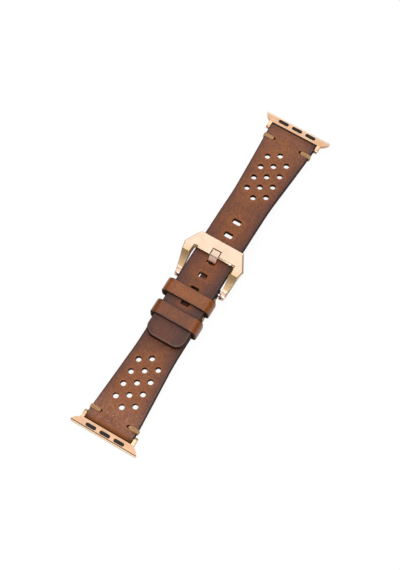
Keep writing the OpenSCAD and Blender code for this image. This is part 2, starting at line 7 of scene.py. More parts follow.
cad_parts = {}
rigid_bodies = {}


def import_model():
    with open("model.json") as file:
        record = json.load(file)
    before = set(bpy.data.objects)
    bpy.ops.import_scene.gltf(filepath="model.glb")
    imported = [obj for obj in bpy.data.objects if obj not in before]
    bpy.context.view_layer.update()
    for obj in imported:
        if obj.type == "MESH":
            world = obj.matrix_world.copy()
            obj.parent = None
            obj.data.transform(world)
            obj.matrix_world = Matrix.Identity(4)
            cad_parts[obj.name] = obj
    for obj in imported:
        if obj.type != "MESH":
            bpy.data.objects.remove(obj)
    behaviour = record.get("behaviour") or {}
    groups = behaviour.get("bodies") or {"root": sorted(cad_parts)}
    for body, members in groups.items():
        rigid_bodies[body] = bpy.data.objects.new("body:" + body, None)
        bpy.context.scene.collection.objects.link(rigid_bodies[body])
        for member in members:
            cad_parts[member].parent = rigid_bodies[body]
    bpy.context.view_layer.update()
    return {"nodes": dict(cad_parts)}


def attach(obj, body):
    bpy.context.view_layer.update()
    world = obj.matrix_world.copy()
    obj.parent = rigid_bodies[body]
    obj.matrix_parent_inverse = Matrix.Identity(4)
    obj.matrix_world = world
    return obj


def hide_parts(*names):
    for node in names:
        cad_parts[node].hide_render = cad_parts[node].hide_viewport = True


for thing in list(bpy.data.objects):  # the start-up cube, lamp and camera
    bpy.data.objects.remove(thing)
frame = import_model()
scene = bpy.context.scene
scene.view_settings.view_transform = "Standard"
mm = 0.001
print("frame loaded:", len(frame["nodes"]), "nodes")


def fade(value, low, high):
    # with t the share of the way from low to high, held between 0 and 1: 3t^2 - 2t^3
    t = np.clip((value - low) / (high - low), 0, 1)
    return t * t * (3 - 2 * t)


def bell(value, width):
    # e to the power of -(value / width)^2
    return np.exp(-(value / width) ** 2)


def tubeFaces(rings, count, closed=False):
    # quads between neighbouring rings of points, and from the last ring to the first where closed
    i = np.arange(rings if closed else rings - 1)[:, None]
    j = np.arange(count)[None, :]
    nextRing, nextPoint = (i + 1) % rings, (j + 1) % count
    corners = [i * count + j, nextRing * count + j, nextRing * count + nextPoint, i * count + nextPoint]
    return np.stack([c + 0 * (i + j) for c in corners], -1).reshape(-1, 4)


def capFaces(rings, count):
    # one face over each end of such a tube
    corner = np.arange(count)
    return [corner[None, :], (corner + (rings - 1) * count)[None, ::-1]]


def facingOut(points, faceSets):
    # the sum of a . (b x c) over the triangles of a closed skin is below zero when they face inwards
    total = 0.0
    for faces in faceSets:
        for k in range(1, faces.shape[1] - 1):
            a, b, c = points[faces[:, 0]], points[faces[:, k]], points[faces[:, k + 1]]
            total += np.einsum("ij,ij->i", a, np.cross(b, c)).sum()
    return [faces[:, ::-1] for faces in faceSets] if total < 0 else faceSets


def joinParts(parts):
    # several closed skins of points, faceSets and values as one
    points, faceSets, values, start = [], [], {}, 0
    for partPoints, partFaces, partValues in parts:
        points.append(partPoints)
        faceSets += [faces + start for faces in facingOut(partPoints, partFaces)]
        for key, value in partValues.items():
            values.setdefault(key, []).append(value)
        start += len(partPoints)
    return np.concatenate(points), faceSets, {key: np.concatenate(value) for key, value in values.items()}


def newPiece(name, belongs, points, faceSets, values, *materials, edgeSets=0):
    # points in mm; the faces of a set have the same number of corners, and the last edgeSets of them take the
    # second material; values are point attributes; belongs names the body, the material slot, which is not
    # used, and the CAD node
    faceSets = facingOut(points, faceSets)
    mesh = bpy.data.meshes.new(name)
    mesh.from_pydata((points * mm).tolist(), [], [f for faces in faceSets for f in faces.tolist()])
    mesh.polygons.foreach_set("use_smooth", np.ones(len(mesh.polygons), bool))
    for key, value in values.items():
        layer = mesh.attributes.new(key, "FLOAT", "POINT")
        layer.data.foreach_set("value", np.asarray(value, np.float32).ravel())
    for material in materials:
        mesh.materials.append(material)
    if edgeSets:
        first = sum(len(faces) for faces in faceSets[:-edgeSets])
        mesh.polygons.foreach_set("material_index", (np.arange(len(mesh.polygons)) >= first).astype(np.int32))
    mesh.update()
    piece = bpy.data.objects.new(name, mesh)
    scene.collection.objects.link(piece)
    body, slotName, node = belongs
    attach(piece, body)
    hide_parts(node)


def shade(*levels):
    # a colour as a picture gives it, 0 to 255, as linear light
    parts = [level / 255 for level in levels]
    return (*[v / 12.92 if v <= 0.04045 else ((v + 0.055) / 1.055) ** 2.4 for v in parts], 1.0)


def fill(node, inputs):
    # links the sockets among the inputs, and sets the values
    for key, value in inputs.items():
        if isinstance(value, bpy.types.NodeSocket):
            node.id_data.links.new(value, node.inputs[key])
        else:
            node.inputs[key].default_value = value


def addNode(kind, inputs, output=0, tree=None, **settings):
    # a node in the tree given, or else in the one that its inputs come from; gives one of its outputs
    tree = tree or next(value.id_data for value in inputs.values() if isinstance(value, bpy.types.NodeSocket))
    node = tree.nodes.new("ShaderNode" + kind)
    for key, value in settings.items():
        setattr(node, key, value)
    fill(node, inputs)
    return node.outputs[output]


def newMaterial(name):
    material = bpy.data.materials.new(name)
    material.use_nodes = True
    return material, material.node_tree, material.node_tree.nodes["Principled BSDF"]


def millimetres(tree, stretch=(1, 1, 1)):
    # object coordinates in mm, stretched along the axes
    where = addNode("TexCoord", {}, "Object", tree)
    return addNode("Mapping", {"Vector": where, "Scale": [1000 * s for s in stretch]})


def cloud(vector, size, detail=3.0, roughness=0.55, distortion=0.0):
    # noise whose lumps are about size mm
    return addNode("TexNoise", {"Vector": vector, "Scale": 1 / size, "Detail": detail, "Roughness": roughness,
                                "Distortion": distortion}, "Fac")


def pores(vector, size, feature="F1"):
    return addNode("TexVoronoi", {"Vector": vector, "Scale": 1 / size}, "Distance", feature=feature)


def read(tree, name):
    return addNode("Attribute", {}, "Fac", tree, attribute_name=name)


def calc(operation, first, second=0.0, third=0.0, clamp=False):
    return addNode("Math", {0: first, 1: second, 2: third}, operation=operation, use_clamp=clamp)


def times(first, *others):
    for other in others:
        first = calc("MULTIPLY", first, other)
    return first


def scaled(value, factor, more, clamp=False):
    return calc("MULTIPLY_ADD", value, factor, more, clamp)


def spread(value, low, high, to=(0.0, 1.0), kind="SMOOTHSTEP"):
    # value from low..high to another range, smoothly
    return addNode("MapRange", {"Value": value, "From Min": low, "From Max": high, "To Min": to[0],
                                "To Max": to[1]}, "Result", interpolation_type=kind)


def within(value, low, high, soft):
    # 1 from low to high, down to 0 over soft on either side
    return times(spread(value, low - soft, low), spread(value, high + soft, high))


def axes(tree, output="Object", scale=1000):
    # x, y and z of the object coordinates in mm, or of the normal
    where = addNode("TexCoord", {}, output, tree)
    return [times(part, scale) for part in addNode("SeparateXYZ", {"Vector": where}).node.outputs]


def mixed(factor, first, second, blend="MIX"):
    # colours of three parts are as a picture gives them
    first, second = [shade(*c) if isinstance(c, tuple) and len(c) == 3 else c for c in (first, second)]
    return addNode("Mix", {0: factor, 6: first, 7: second}, 2, data_type="RGBA", blend_type=blend)


def paintedOver(colour, fields, rows):
    # each mark of painted light has a colour, an amount and masks; a mask is the name of a field, with the
    # two values between which it rises, or with those of a band and how soft its ends are, or alone for the
    # field itself
    for paintColour, amount, *masks in rows:
        for name, *span in masks:
            mask = (spread, within)[len(span) - 2](fields[name], *span) if span else fields[name]
            amount = times(amount, mask)
        colour = mixed(amount, colour, paintColour)
    return colour


def ramp(value, *stops):
    # stops are a position and a colour as a picture gives it
    colour = addNode("ValToRGB", {"Fac": value}, "Color")
    points = colour.node.color_ramp.elements
    while len(points) < len(stops):
        points.new(0.5)
    for point, (position, *levels) in zip(points, stops):
        point.position, point.color = position, shade(*levels)
    return colour


def raised(height, strength, depth, under=None):
    # bump from a height field, depth in mm for a height of 1
    inputs = {"Height": height, "Strength": strength, "Distance": depth * mm}
    return addNode("Bump", {**inputs, "Normal": under} if under else inputs, "Normal")


view = {
    "place": (-209.04, -121.14, 645.93),      # mm
    "forward": (0.29845, 0.17635, -0.93799), "right": (0.50965, -0.86038, 0.00040),
    "lens": 94.74, "sensor": 36.0,            # mm, the sensor along the picture's long side
    "near": 0.01, "far": 20,                  # m
}
studio = {
    "evenLight": 0.56, "paper": 0.9, "floorShare": 0.85, "floorWhite": 1.05,
    "floorHalf": 3000.0, "floorAt": -0.03,
    "cloth": 1.05, "clothFade": (0.52, 0.9), "gap": 0.12, "gapTint": (1, 0.76, 0.46, 1),
    "white": (1, 1, 1, 1),
    "wall": 1.0, "wallFade": (0.3, 0.1), "wallSide": (-0.86, -0.5, 0), "wallEnd": (0.3, 0.7),
    "lamps": {"keyLamp": ((-170, -110, 700), 260, 1.7), "fillLamp": ((560, 260, 420), 420, 0.9)},
}


def makeCamera():
    forward, right = Vector(view["forward"]).normalized(), Vector(view["right"]).normalized()
    data = bpy.data.cameras.new("camera")
    data.lens, data.sensor_width, data.sensor_fit = view["lens"], view["sensor"], "AUTO"
    data.clip_start, data.clip_end = view["near"], view["far"]
    camera = bpy.data.objects.new("camera", data)
    turn = Matrix((right, right.cross(forward), -forward)).transposed().to_4x4()
    camera.matrix_world = Matrix.Translation(Vector(view["place"]) * mm) @ turn
    scene.collection.objects.link(camera)
    scene.camera = camera


def makeLamp(name, place, size, power):
    data = bpy.data.lights.new(name, "AREA")
    data.shape, data.size, data.energy = "SQUARE", size * mm, power
    lamp = bpy.data.objects.new(name, data)
    lamp.location = Vector(place) * mm
    lamp.rotation_euler = (-lamp.location).to_track_quat("-Z", "Y").to_euler()
    scene.collection.objects.link(lamp)


def rays(tree):
    # whether a ray looks for gloss, and whether it comes straight from the camera
    path = addNode("LightPath", {}, 0, tree).node.outputs
    return path["Is Glossy Ray"], calc("MAXIMUM", path["Is Camera Ray"], path["Is Transmission Ray"])


def makeWorld():
    # matt surfaces are lit evenly from all round
    # gloss sees a white cloth overhead, a dark gap of a warm colour, and a pale wall on the near side
    world = bpy.data.worlds.new("studio")
    world.use_nodes = True
    scene.world = world
    tree, white = world.node_tree, studio["white"]
    tree.nodes.clear()
    direction = addNode("TexCoord", {}, "Generated", tree)
    height = addNode("SeparateXYZ", {"Vector": direction}, "Z")
    side = addNode("VectorMath", {0: direction, 1: studio["wallSide"]}, "Value", operation="DOT_PRODUCT")
    cloth = spread(height, *studio["clothFade"], (studio["gap"], studio["cloth"]))
    wall = times(spread(height, *studio["wallFade"], (0, studio["wall"])), spread(side, *studio["wallEnd"]))
    strength = calc("ADD", cloth, wall)
    tint = mixed(strength, studio["gapTint"], white)
    lights = (white, studio["evenLight"]), (tint, strength), (white, 1.0)
    even, gloss, seen = [addNode("Background", {"Color": colour, "Strength": power}, tree=tree)
                         for colour, power in lights]
    glossy, clear = rays(tree)
    lit = addNode("MixShader", {0: glossy, 1: even, 2: gloss})
    whole = addNode("MixShader", {0: clear, 1: lit, 2: seen})
    fill(tree.nodes.new("ShaderNodeOutputWorld"), {"Surface": whole})


def makeFloor():
    # seen white, with a part of the shadow that falls on it
    material, tree, shader = newMaterial("paper")
    fill(shader, {"Base Color": (studio["paper"],) * 3 + (1,), "Roughness": 0.9, "Specular IOR Level": 0.0})
    white = addNode("Emission", {"Color": studio["white"], "Strength": studio["floorWhite"]}, tree=tree)
    share = times(rays(tree)[1], studio["floorShare"])
    seen = addNode("MixShader", {0: share, 1: shader.outputs[0], 2: white})
    fill(tree.nodes["Material Output"], {"Surface": seen})
    signs = np.array([(-1, -1), (1, -1), (1, 1), (-1, 1)])
    corners = np.insert(signs * studio["floorHalf"], 2, studio["floorAt"], axis=1)
    mesh = bpy.data.meshes.new("floor")
    mesh.from_pydata((corners * mm).tolist(), [], [(0, 1, 2, 3)])
    mesh.materials.append(material)
    floor = bpy.data.objects.new("floor", mesh)
    scene.collection.objects.link(floor)


makeCamera()
makeWorld()
for name, lamp in studio["lamps"].items():
    makeLamp(name, *lamp)
makeFloor()
print("camera, lamps and floor ready")


# All lengths below are in millimetres, in the row frame. They repeat the values of the CAD source.
places = {
    "lugHeight": 2.38, "pin": -4.075, "pinHeight": 2.47, "fixedKeeper": -13.175, "looseKeeper": -24.575,
}
strap = {
    "topThick": 1.7, "liningThick": 1.5, "foldThick": 1.45, "joint": 0.01, "soften": 1.2,
    "steps": 40, "topSteps": 500,  # points of a fold's parts and of the top's side view
    "lugHalf": 12.0, "tailHalf": 9.8, "taperLength": 38.0, "taperBlend": 150.0, "tipRadius": 5.0,
    "foldReach": 3.4, "lugHole": 0.83, "lugMeet": 0.6, "lugFlap": 7.6, "foldStretch": 1.09,
    "ventRadius": (1.3, 1.3), "ventPitch": 6.5, "ventRow": 5.1,
    "holeFirst": 98.6, "holePitch": 7.7, "holeCount": 7, "holeHalf": (1.28, 2.12), "holeCorner": 0.8,
    "stitchIn": 4.8, "stitchHole": 0.75, "stitchUnder": 0.5, "stitchRun": 0.3, "stitchSpan": 1.5,
    "stitchAt": 0.95, "barStitch": 4.0, "keeperStitch": 14.25,
    "dent": 0.2, "dentHalf": 0.6, "dentReach": 0.75,
    "pinHole": 0.98, "pinMeet": 0.3, "pinJoint": 0.02, "buckleFlap": 18.2,
    "slotHalf": 2.25, "slotBehind": 2.3, "slotCorner": 0.6, "slotSpan": 0.7, "waveTurns": (0.25, 0.21),
    "keeperAt": 9.1, "pocket": 3.6, "pocketTop": 1.48, "endLow": 1.7, "endJoint": 3.2, "endHigh": 4.9,
    "grainDip": (0, 0.1, 0.6), "fleshDip": (0.05, 0.05, 0.15),  # its corners' places past web and pocket
    # the grid's lines across, counted from the middle, that bound the cells of each kind of hole
    "ventLines": (-5, 5), "ventShift": 10, "lugLines": (11, 17), "endLines": (7, 13), "slotLines": (-6, 6),
    "holeLines": (-10, 10),
    "grain": 0.5, "edgeRound": 0.42, "holeRound": 0.2, "seamRound": 0.12, "liningRound": (0.35, 0.15, 0.12),
    "liningGap": 0.03, "tipDrop": 0.18, "endClear": 0.6,
}
halves = {
    "short": {
        "lug": -81.675, "turn": 1,  # the lug bar's place, and the way along x from there
        "length": 77.6, "ramp": 40.0, "middle": 3.3,  # the middle rises to this height over the ramp
        "stitch": 3.6, "vents": 9.6, "ventUnder": (1.52, 1.3),
        "right": 2.8, "left": 2.8, "leftAmount": 0.65, "base": 0.28,
        # tone added over stretches along the strap: start, end and amount; the second darkens what lies under
        # the long half, as painted shade
        "zones": [(32, 54, 0.32), (45, 50, 0.7), (9, 0, 0.22)],
        "waves": (0.05, 19.0, 1.3),      # depth, length and shift
        # the worn mark is wear, and near the short lug its dust is partly a painted sheen
        "worn": (1.0, 18.0, 3.0),        # most wear, and where it starts and is full, from the lug
        "glow": (1.5, 0.8),              # its reach round the vents, near the lug and far from it
        # painted shade on the lug fold: a deeper orange and a darker tone, darkest where it meets the plate
        "fold": (1.4, 0.3, -2.2, 0.36),  # glow, tone, where it is darkest, and how dark before that
    },
    "long": {
        "lug": 81.675, "turn": -1, "length": 119.4, "ramp": 63.35, "middle": 6.6,
        "stitch": 5.0, "vents": 11.4, "ventUnder": (1.68, 1.44),
        "right": 3.4, "left": 2.4, "leftAmount": 0.6, "base": 0.25,
        "zones": [(54, 72, 0.18), (80, 96, 0.27), (9, 0, 0.18)],
        "waves": (0.05, 17.0, 0.4), "worn": (0.3, 20.0, 5.0),
        # the lug fold gets less painted shade on the long half
        "glow": (0.75, 0.75), "fold": (0.3, 0.0, -0.9, 0.135),
    },
}
halfThick = (strap["topThick"] + strap["liningThick"]) / 2
edgeLines = np.array([0.9, 0.5, 0.27, 0.13, 0.05, 0.0])  # distances of the grid's last lines from the edge
lineStep, fixedLines, sideLines = 0.51, 15, 6  # across: even lines, then ones that spread with the width
ringsWide, ringsClose = (0.85, *edgeLines[1:]), (0.45, *edgeLines[2:])  # distances of rings from a hole


def taperHalf(x):
    # half width: level to the fold, straight taper, a large radius, then level again
    radius, corner = strap["taperBlend"], strap["taperLength"]
    tilt = math.atan2(strap["lugHalf"] - strap["tailHalf"], corner - strap["foldReach"])
    tangent = radius * math.tan(tilt / 2)
    straight = strap["lugHalf"] - np.maximum(x - strap["foldReach"], 0) * math.tan(tilt)
    past = np.clip(corner + tangent - x, 0, radius * math.sin(tilt))
    blended = strap["tailHalf"] + radius - np.sqrt(radius ** 2 - past ** 2)
    return np.where(x < corner - tangent, straight, blended)


def middleHeight(x, look):
    # height of the strap's middle: from the lug bar up a smooth step to its level part
    low = places["lugHeight"]
    return low + (look["middle"] - low) * fade(x, strap["foldReach"], look["ramp"])


def arcPoints(radius, start, end, count):
    angle = np.linspace(start, end, count)
    return np.stack([radius * np.cos(angle), radius * np.sin(angle)], 1)


def roundBar(radius, low, high, count):
    # round a circle clockwise, from where a line from the point low touches it to where one from high does
    start = math.atan2(low[1], low[0]) - math.acos(radius / math.hypot(*low))
    end = math.atan2(high[1], high[0]) + math.acos(radius / math.hypot(*high))
    return arcPoints(radius, start, end - 2 * math.pi, count)


def measured(points):
    return np.concatenate([[0], np.cumsum(np.hypot(*np.diff(points, axis=0).T))])


def softened(points, width, step=0.05):
    # a running mean along the line rounds its corners
    length = measured(points)
    even = np.arange(0, length[-1], step)
    line = np.stack([np.interp(even, length, points[:, k]) for k in (0, 1)], 1)
    half = max(int(width / step / 2), 1)
    kernel = np.ones(2 * half + 1) / (2 * half + 1)
    padded = np.concatenate([2 * line[0] - line[half:0:-1], line, 2 * line[-1] - line[-2:-half - 2:-1]])
    smooth = np.stack([np.convolve(padded[:, k], kernel, "valid") for k in (0, 1)], 1)
    return np.stack([np.interp(length, even, smooth[:, k]) for k in (0, 1)], 1)


def barLoop(hole, reach, high, low, meet, gap):
    # a leather loop round a bar at the origin, from the lower layer, which runs to +x, round to the upper one
    count = strap["steps"]
    outerArc = roundBar(hole + strap["foldThick"], (reach, low), (reach, high), 2 * count)
    innerArc = roundBar(hole, meet, meet, 2 * count)
    some, rest = count // 4, count - count // 4
    outer = [np.linspace((reach, low), outerArc[0], count), outerArc,
             np.linspace(outerArc[-1], (reach, high), count)]
    inner = [np.linspace((reach, meet[1] - gap), meet, some), np.linspace(meet, innerArc[0], rest), innerArc,
             np.linspace(innerArc[-1], meet, rest), np.linspace(meet, (reach, meet[1] + gap), some)]
    return np.concatenate(outer), np.concatenate(inner)


def lugPart(look):
    # the flap under the lug and the loop, up to where the top layer starts; heights from the floor
    reach, joint, gap = strap["foldReach"], halfThick - strap["topThick"], strap["joint"]
    meet = (reach - strap["lugMeet"], joint)
    outer, inner = barLoop(strap["lugHole"], reach, halfThick, -halfThick, meet, gap)
    outer[:, 0] *= np.where(outer[:, 0] < 0, strap["foldStretch"], 1)  # the fold lies close to the plate
    flap = np.linspace(strap["lugFlap"], reach, strap["steps"])[:-1]
    height = middleHeight(flap, look) - places["lugHeight"]
    outer = np.concatenate([np.stack([flap, height - halfThick], 1), outer])
    inner = np.concatenate([np.stack([flap, height + joint - gap], 1), inner])
    return outer + [0, places["lugHeight"]], inner + [0, places["lugHeight"]]


def topPart(look, end):
    x = np.linspace(strap["foldReach"], end, strap["topSteps"])[1:]
    high = middleHeight(x, look) + halfThick
    return np.stack([x, high], 1), np.stack([x, high - strap["topThick"] + strap["joint"]], 1)


def bucklePart(length):
    # over the pin, back under it, down below the fixed keeper and up again; x is the distance from the lug
    pin, hole, flap = places["pinHeight"], strap["pinHole"], strap["buckleFlap"]
    web, pocketEnd = strap["keeperAt"] - strap["pocket"], strap["keeperAt"] + strap["pocket"]
    joint, bottom = strap["endJoint"] - pin - strap["joint"], strap["endLow"] - pin
    under = strap["pocketTop"] - pin
    meet = (hole + strap["foldThick"] + strap["pinMeet"], 0.0)
    loops = barLoop(hole, web, strap["endHigh"] - pin, -pin, meet, strap["pinJoint"])
    dips = [[(web + a, level), (pocketEnd + b, level), (pocketEnd + c, end), (flap, end)]
            for (a, b, c), level, end in (
                (strap["grainDip"], -pin, bottom), (strap["fleshDip"], under, joint))]
    lines = [np.concatenate([loop[::-1], *[np.linspace(a, b, strap["steps"])[1:]
                                           for a, b in zip(dip, dip[1:])]])
             for loop, dip in zip(loops, dips)]
    return [line * [-1, 1] + [length, pin] for line in lines]


def leatherLine(*parts):
    # side view of a sheet of leather: where its grain side and its flesh side are at each distance s along it
    # parts are the lug part, the top part and, on the short half, the buckle part
    lug, top, *end = parts
    lugLength = measured(lug[0])
    s = [strap["foldReach"] - lugLength[-1] + lugLength, top[0][:, 0]]
    s += [top[0][-1, 0] + measured(part[0])[1:] for part in end]
    grain, flesh = [np.concatenate([lug[k], top[k], *[part[k][1:] for part in end]]) for k in (0, 1)]
    return {"s": np.concatenate(s), "grain": softened(grain, strap["soften"]), "flesh": flesh}


def pointAt(line, side, s):
    # distance from the lug bar and height, at the distances s along the leather
    return [np.interp(s, line["s"], line[side][:, k]) for k in (0, 1)]


def gridLines(stops, step):
    # even lines between each pair of stops, so that every stop is a line
    counts = [max(int(round((b - a) / step)), 1) for a, b in zip(stops, stops[1:])]
    parts = [np.linspace(a, b, count + 1)[:-1] for a, b, count in zip(stops, stops[1:], counts)]
    return np.concatenate([*parts, [stops[-1]]])


def sheetStops(first, last, holes, others):
    # close lines at both ends of a sheet, and the lines where holes start and end
    inner = [v for hole in holes for v in hole["span"]] + others
    inner = [v for v in inner if first + strap["endClear"] < v < last - strap["endClear"]]
    return sorted({round(float(v), 6) for v in [*(first + edgeLines[1:]), *inner, *(last - edgeLines[1:])]})


def crossLines(half, wide):
    # even lines near the strap's middle, then ones that spread with the width, close ones at the edge
    half, wide = half[:, None], wide[:, None]
    inner = np.broadcast_to(np.arange(fixedLines + 1) * lineStep, (len(half), fixedLines + 1))
    side = inner[:, -1:] + (wide - edgeLines[0] - inner[:, -1:]) * np.arange(1, sideLines + 1) / sideLines
    body = np.concatenate([inner, side], 1) * ((half - edgeLines[0]) / (wide - edgeLines[0]))
    positive = np.concatenate([body, half - edgeLines[1:]], 1)
    return np.concatenate([-positive[:, :0:-1], positive], 1)


def roundedOutline(a, b, half, corner):
    # the square's edge point (a, b), each from -1 to 1, moved to a rectangle with rounded corners
    q = np.stack([a * half[0], b * half[1]], -1)
    centre = np.clip(q, -(half - corner), half - corner)
    away = q - centre
    size = np.linalg.norm(away, axis=-1, keepdims=True)
    inCorner = (np.abs(away) > 1e-9).all(-1, keepdims=True)
    return np.where(inCorner, centre + away / np.maximum(size, 1e-9) * corner, q)


def nearestHole(points, holes):
    # distance outside the nearest of the holes, which are rectangles with rounded corners; 0 inside it
    distance = np.full(len(points), 1e3)
    for hole in holes:
        off = np.abs(points - hole["centre"]) - (np.array(hole["half"]) - hole["corner"])
        outside = np.hypot(*np.maximum(off, 0).T) + np.minimum(off.max(-1), 0) - hole["corner"]
        distance = np.minimum(distance, outside)
    return np.maximum(distance, 0)


def punchedPlan(s, y, holes):
    # the plan of a punched sheet: a grid, in which rings round each hole take the place of its cells
    rows, columns = y.shape
    grid = np.stack([np.broadcast_to(s[:, None], y.shape), y], -1)
    keepPoint, keepFace = np.ones(y.shape, bool), np.ones((rows - 1, columns - 1), bool)
    cells = [[*[int(np.abs(s - v).argmin()) for v in hole["span"]],
              *[columns // 2 + v for v in hole["lines"]]] for hole in holes]
    for i0, i1, j0, j1 in cells:
        keepPoint[i0 + 1:i1, j0 + 1:j1] = False
        keepFace[i0:i1, j0:j1] = False
    total = int(keepPoint.sum())
    index = np.full(y.shape, -1)
    index[keepPoint] = np.arange(total)
    i, j = np.nonzero(keepFace)
    faces = [np.stack([index[i, j], index[i + 1, j], index[i + 1, j + 1], index[i, j + 1]], -1)]
    points, loops = [grid[keepPoint]], []
    for hole, (i0, i1, j0, j1) in zip(holes, cells):
        high, wide = i1 - i0, j1 - j0
        up, over = np.arange(high), np.arange(wide)
        ringI = np.concatenate([i0 + up, i1 + 0 * over, i1 - up, i0 + 0 * over])
        ringJ = np.concatenate([j0 + 0 * up, j0 + over, j1 + 0 * up, j1 - over])
        a, b = 2 * (ringI - i0) / high - 1, 2 * (ringJ - j0) / wide - 1
        rings = [hole["centre"] + roundedOutline(a, b, np.array(hole["half"]) + d, hole["corner"] + d)
                 for d in hole["rings"]]
        # a hole with wide cells has one ring more, halfway to their border
        rings = [(grid[ringI, ringJ] + rings[0]) / 2] * hole.get("between", 0) + rings
        count = len(ringI)
        numbers = [index[ringI, ringJ], *[total + k * count + np.arange(count) for k in range(len(rings))]]
        for outer, inner in zip(numbers, numbers[1:]):
            faces.append(np.stack([outer, np.roll(outer, -1), np.roll(inner, -1), inner], -1))
        points += rings
        total += len(rings) * count
        loops.append(numbers[-1][::-1])
    edge = np.concatenate([index[:-1, 0], index[-1, :-1], index[:0:-1, -1], index[0, :0:-1]])
    return np.concatenate(points), faces, [edge, *loops]


def roundDrop(distance, radius):
    # how far a rounded edge lies below the face, at a distance in from the edge
    inside = np.clip(radius - distance, 0, radius)
    return radius - np.sqrt(np.maximum(radius ** 2 - inside ** 2, 0))


def makeSheet(plan, grain, flesh, edge, hole, rounding, dents):
    # closed sheet: grain side, flesh side, a wall round every outline, and a border that goes with the walls
    points, faces, loops = plan
    drop = np.maximum(roundDrop(edge, rounding[0]), roundDrop(hole, rounding[1])) + dents
    back = np.maximum(roundDrop(edge, rounding[2]), roundDrop(hole, rounding[2]))
    inwards = (flesh - grain) / np.linalg.norm(flesh - grain, axis=1)[:, None]
    both = np.concatenate([grain + inwards * drop[:, None], flesh - inwards * back[:, None]])
    count = len(points)
    walls = [(loop, np.roll(loop, -1)) for loop in loops]
    walls = [np.stack([a, a + count, b + count, b], -1) for a, b in walls]
    atEdge = (edge[faces[0]] < edgeLines[2] + 0.01).all(1)
    border, faces = faces[0][atEdge], [faces[0][~atEdge], *faces[1:]]
    walls += [border, border[:, ::-1] + count]
    return both, [*faces, *[f[:, ::-1] + count for f in faces], *walls], len(walls)


def ventHoles(start, radius):
    # three staggered rows; radius at the lug's end and at the other end
    holes, reach = [], strap["ventPitch"] / 2
    for row, steps in ((-1, (0.5, 1.5, 2.5, 3.5)), (0, (0, 1, 2, 3, 4)), (1, (0.5, 1.5, 2.5, 3.5))):
        for step in steps:
            centre, wide = start + step * strap["ventPitch"], radius[0] + (radius[1] - radius[0]) * step / 4
            lines = [strap["ventShift"] * row + v for v in strap["ventLines"]]
            holes.append({"centre": (centre, row * strap["ventRow"]), "half": (wide, wide), "corner": wide,
                          "rings": ringsWide, "lines": lines, "span": (centre - reach, centre + reach)})
    return holes


def stitchHoles(s, half, lines, under=False):
    # the holes through the layer below are only as wide as the thread
    across = half - strap["stitchIn"] + (strap["stitchRun"] if under else 0)
    radius, reach = strap["stitchUnder" if under else "stitchHole"], strap["stitchSpan"]
    return [{"centre": (s, side * across), "half": (radius, radius), "corner": radius, "rings": ringsClose,
             "lines": sorted(side * line for line in strap[lines]), "span": (s - reach, s + reach)}
            for side in (-1, 1)]


def buckleHoles():
    reach = strap["holePitch"] / 2
    return [{"centre": (at, 0), "half": strap["holeHalf"], "corner": strap["holeCorner"], "rings": ringsWide,
             "between": 1, "lines": strap["holeLines"], "span": (at - reach, at + reach)}
            for at in [strap["holeFirst"] - k * strap["holePitch"] for k in range(strap["holeCount"])]]


def buckleEndHoles(length, finish):
    # stitches at the bar and beside the keeper, through both layers, and the tongue's slot in the fold
    holes, behind, start = [], strap["slotBehind"], finish - strap["buckleFlap"]
    for origin, way, under in ((length, -1, False), (start, 1, True)):
        for stitch in (strap["barStitch"], strap["keeperStitch"]):
            holes += stitchHoles(origin + way * stitch, strap["tailHalf"], "endLines", under)
    first, last, more = length - behind, start + behind, strap["slotSpan"]
    return holes + [{"centre": ((first + last) / 2, 0), "half": ((last - first) / 2, strap["slotHalf"]),
                     "corner": strap["slotCorner"], "rings": ringsClose, "lines": strap["slotLines"],
                     "span": (first - more, last + more)}]


def stitchDent(s, y, half, at):
    # the leather is pressed in under each stitch, from its hole to the edge
    reach = half - strap["stitchIn"]
    across = fade(np.abs(y) - reach, -strap["dentHalf"], strap["dentHalf"])
    return strap["dent"] * across * sum(bell(s - a, strap["dentReach"]) for a in at)


def handWaves(s, y, wave):
    # the leather isn't quite flat: low waves along it, deeper towards its sides
    (depth, length, shift), (turn, sway) = wave, strap["waveTurns"]
    return depth * (1 + np.sin(2 * math.pi * s / length + shift + turn * y) * np.cos(sway * y + shift)) / 2


def widths(x, s, tip):
    # half width at the distance x from the lug bar, with and without the tip's round corners
    wide, radius = taperHalf(x), strap["tipRadius"]
    past = np.clip(s - (tip - radius), 0, radius) if tip else 0 * s
    return wide - radius + np.sqrt(radius ** 2 - past ** 2), wide


def edgeDistance(s, y, half, wide, ends, tip):
    # distance from the sides and ends, and from the arcs where the tip's corners are round
    y, radius = np.abs(y), strap["tipRadius"]
    distance = np.minimum(half - y, np.minimum(s - ends[0], ends[1] - s))
    if tip:
        pastS, pastY = s - (tip - radius), y - (wide - radius)
        distance = np.where((pastS > 0) & (pastY > 0), radius - np.hypot(pastS, pastY), distance)
    return np.maximum(distance, 0)


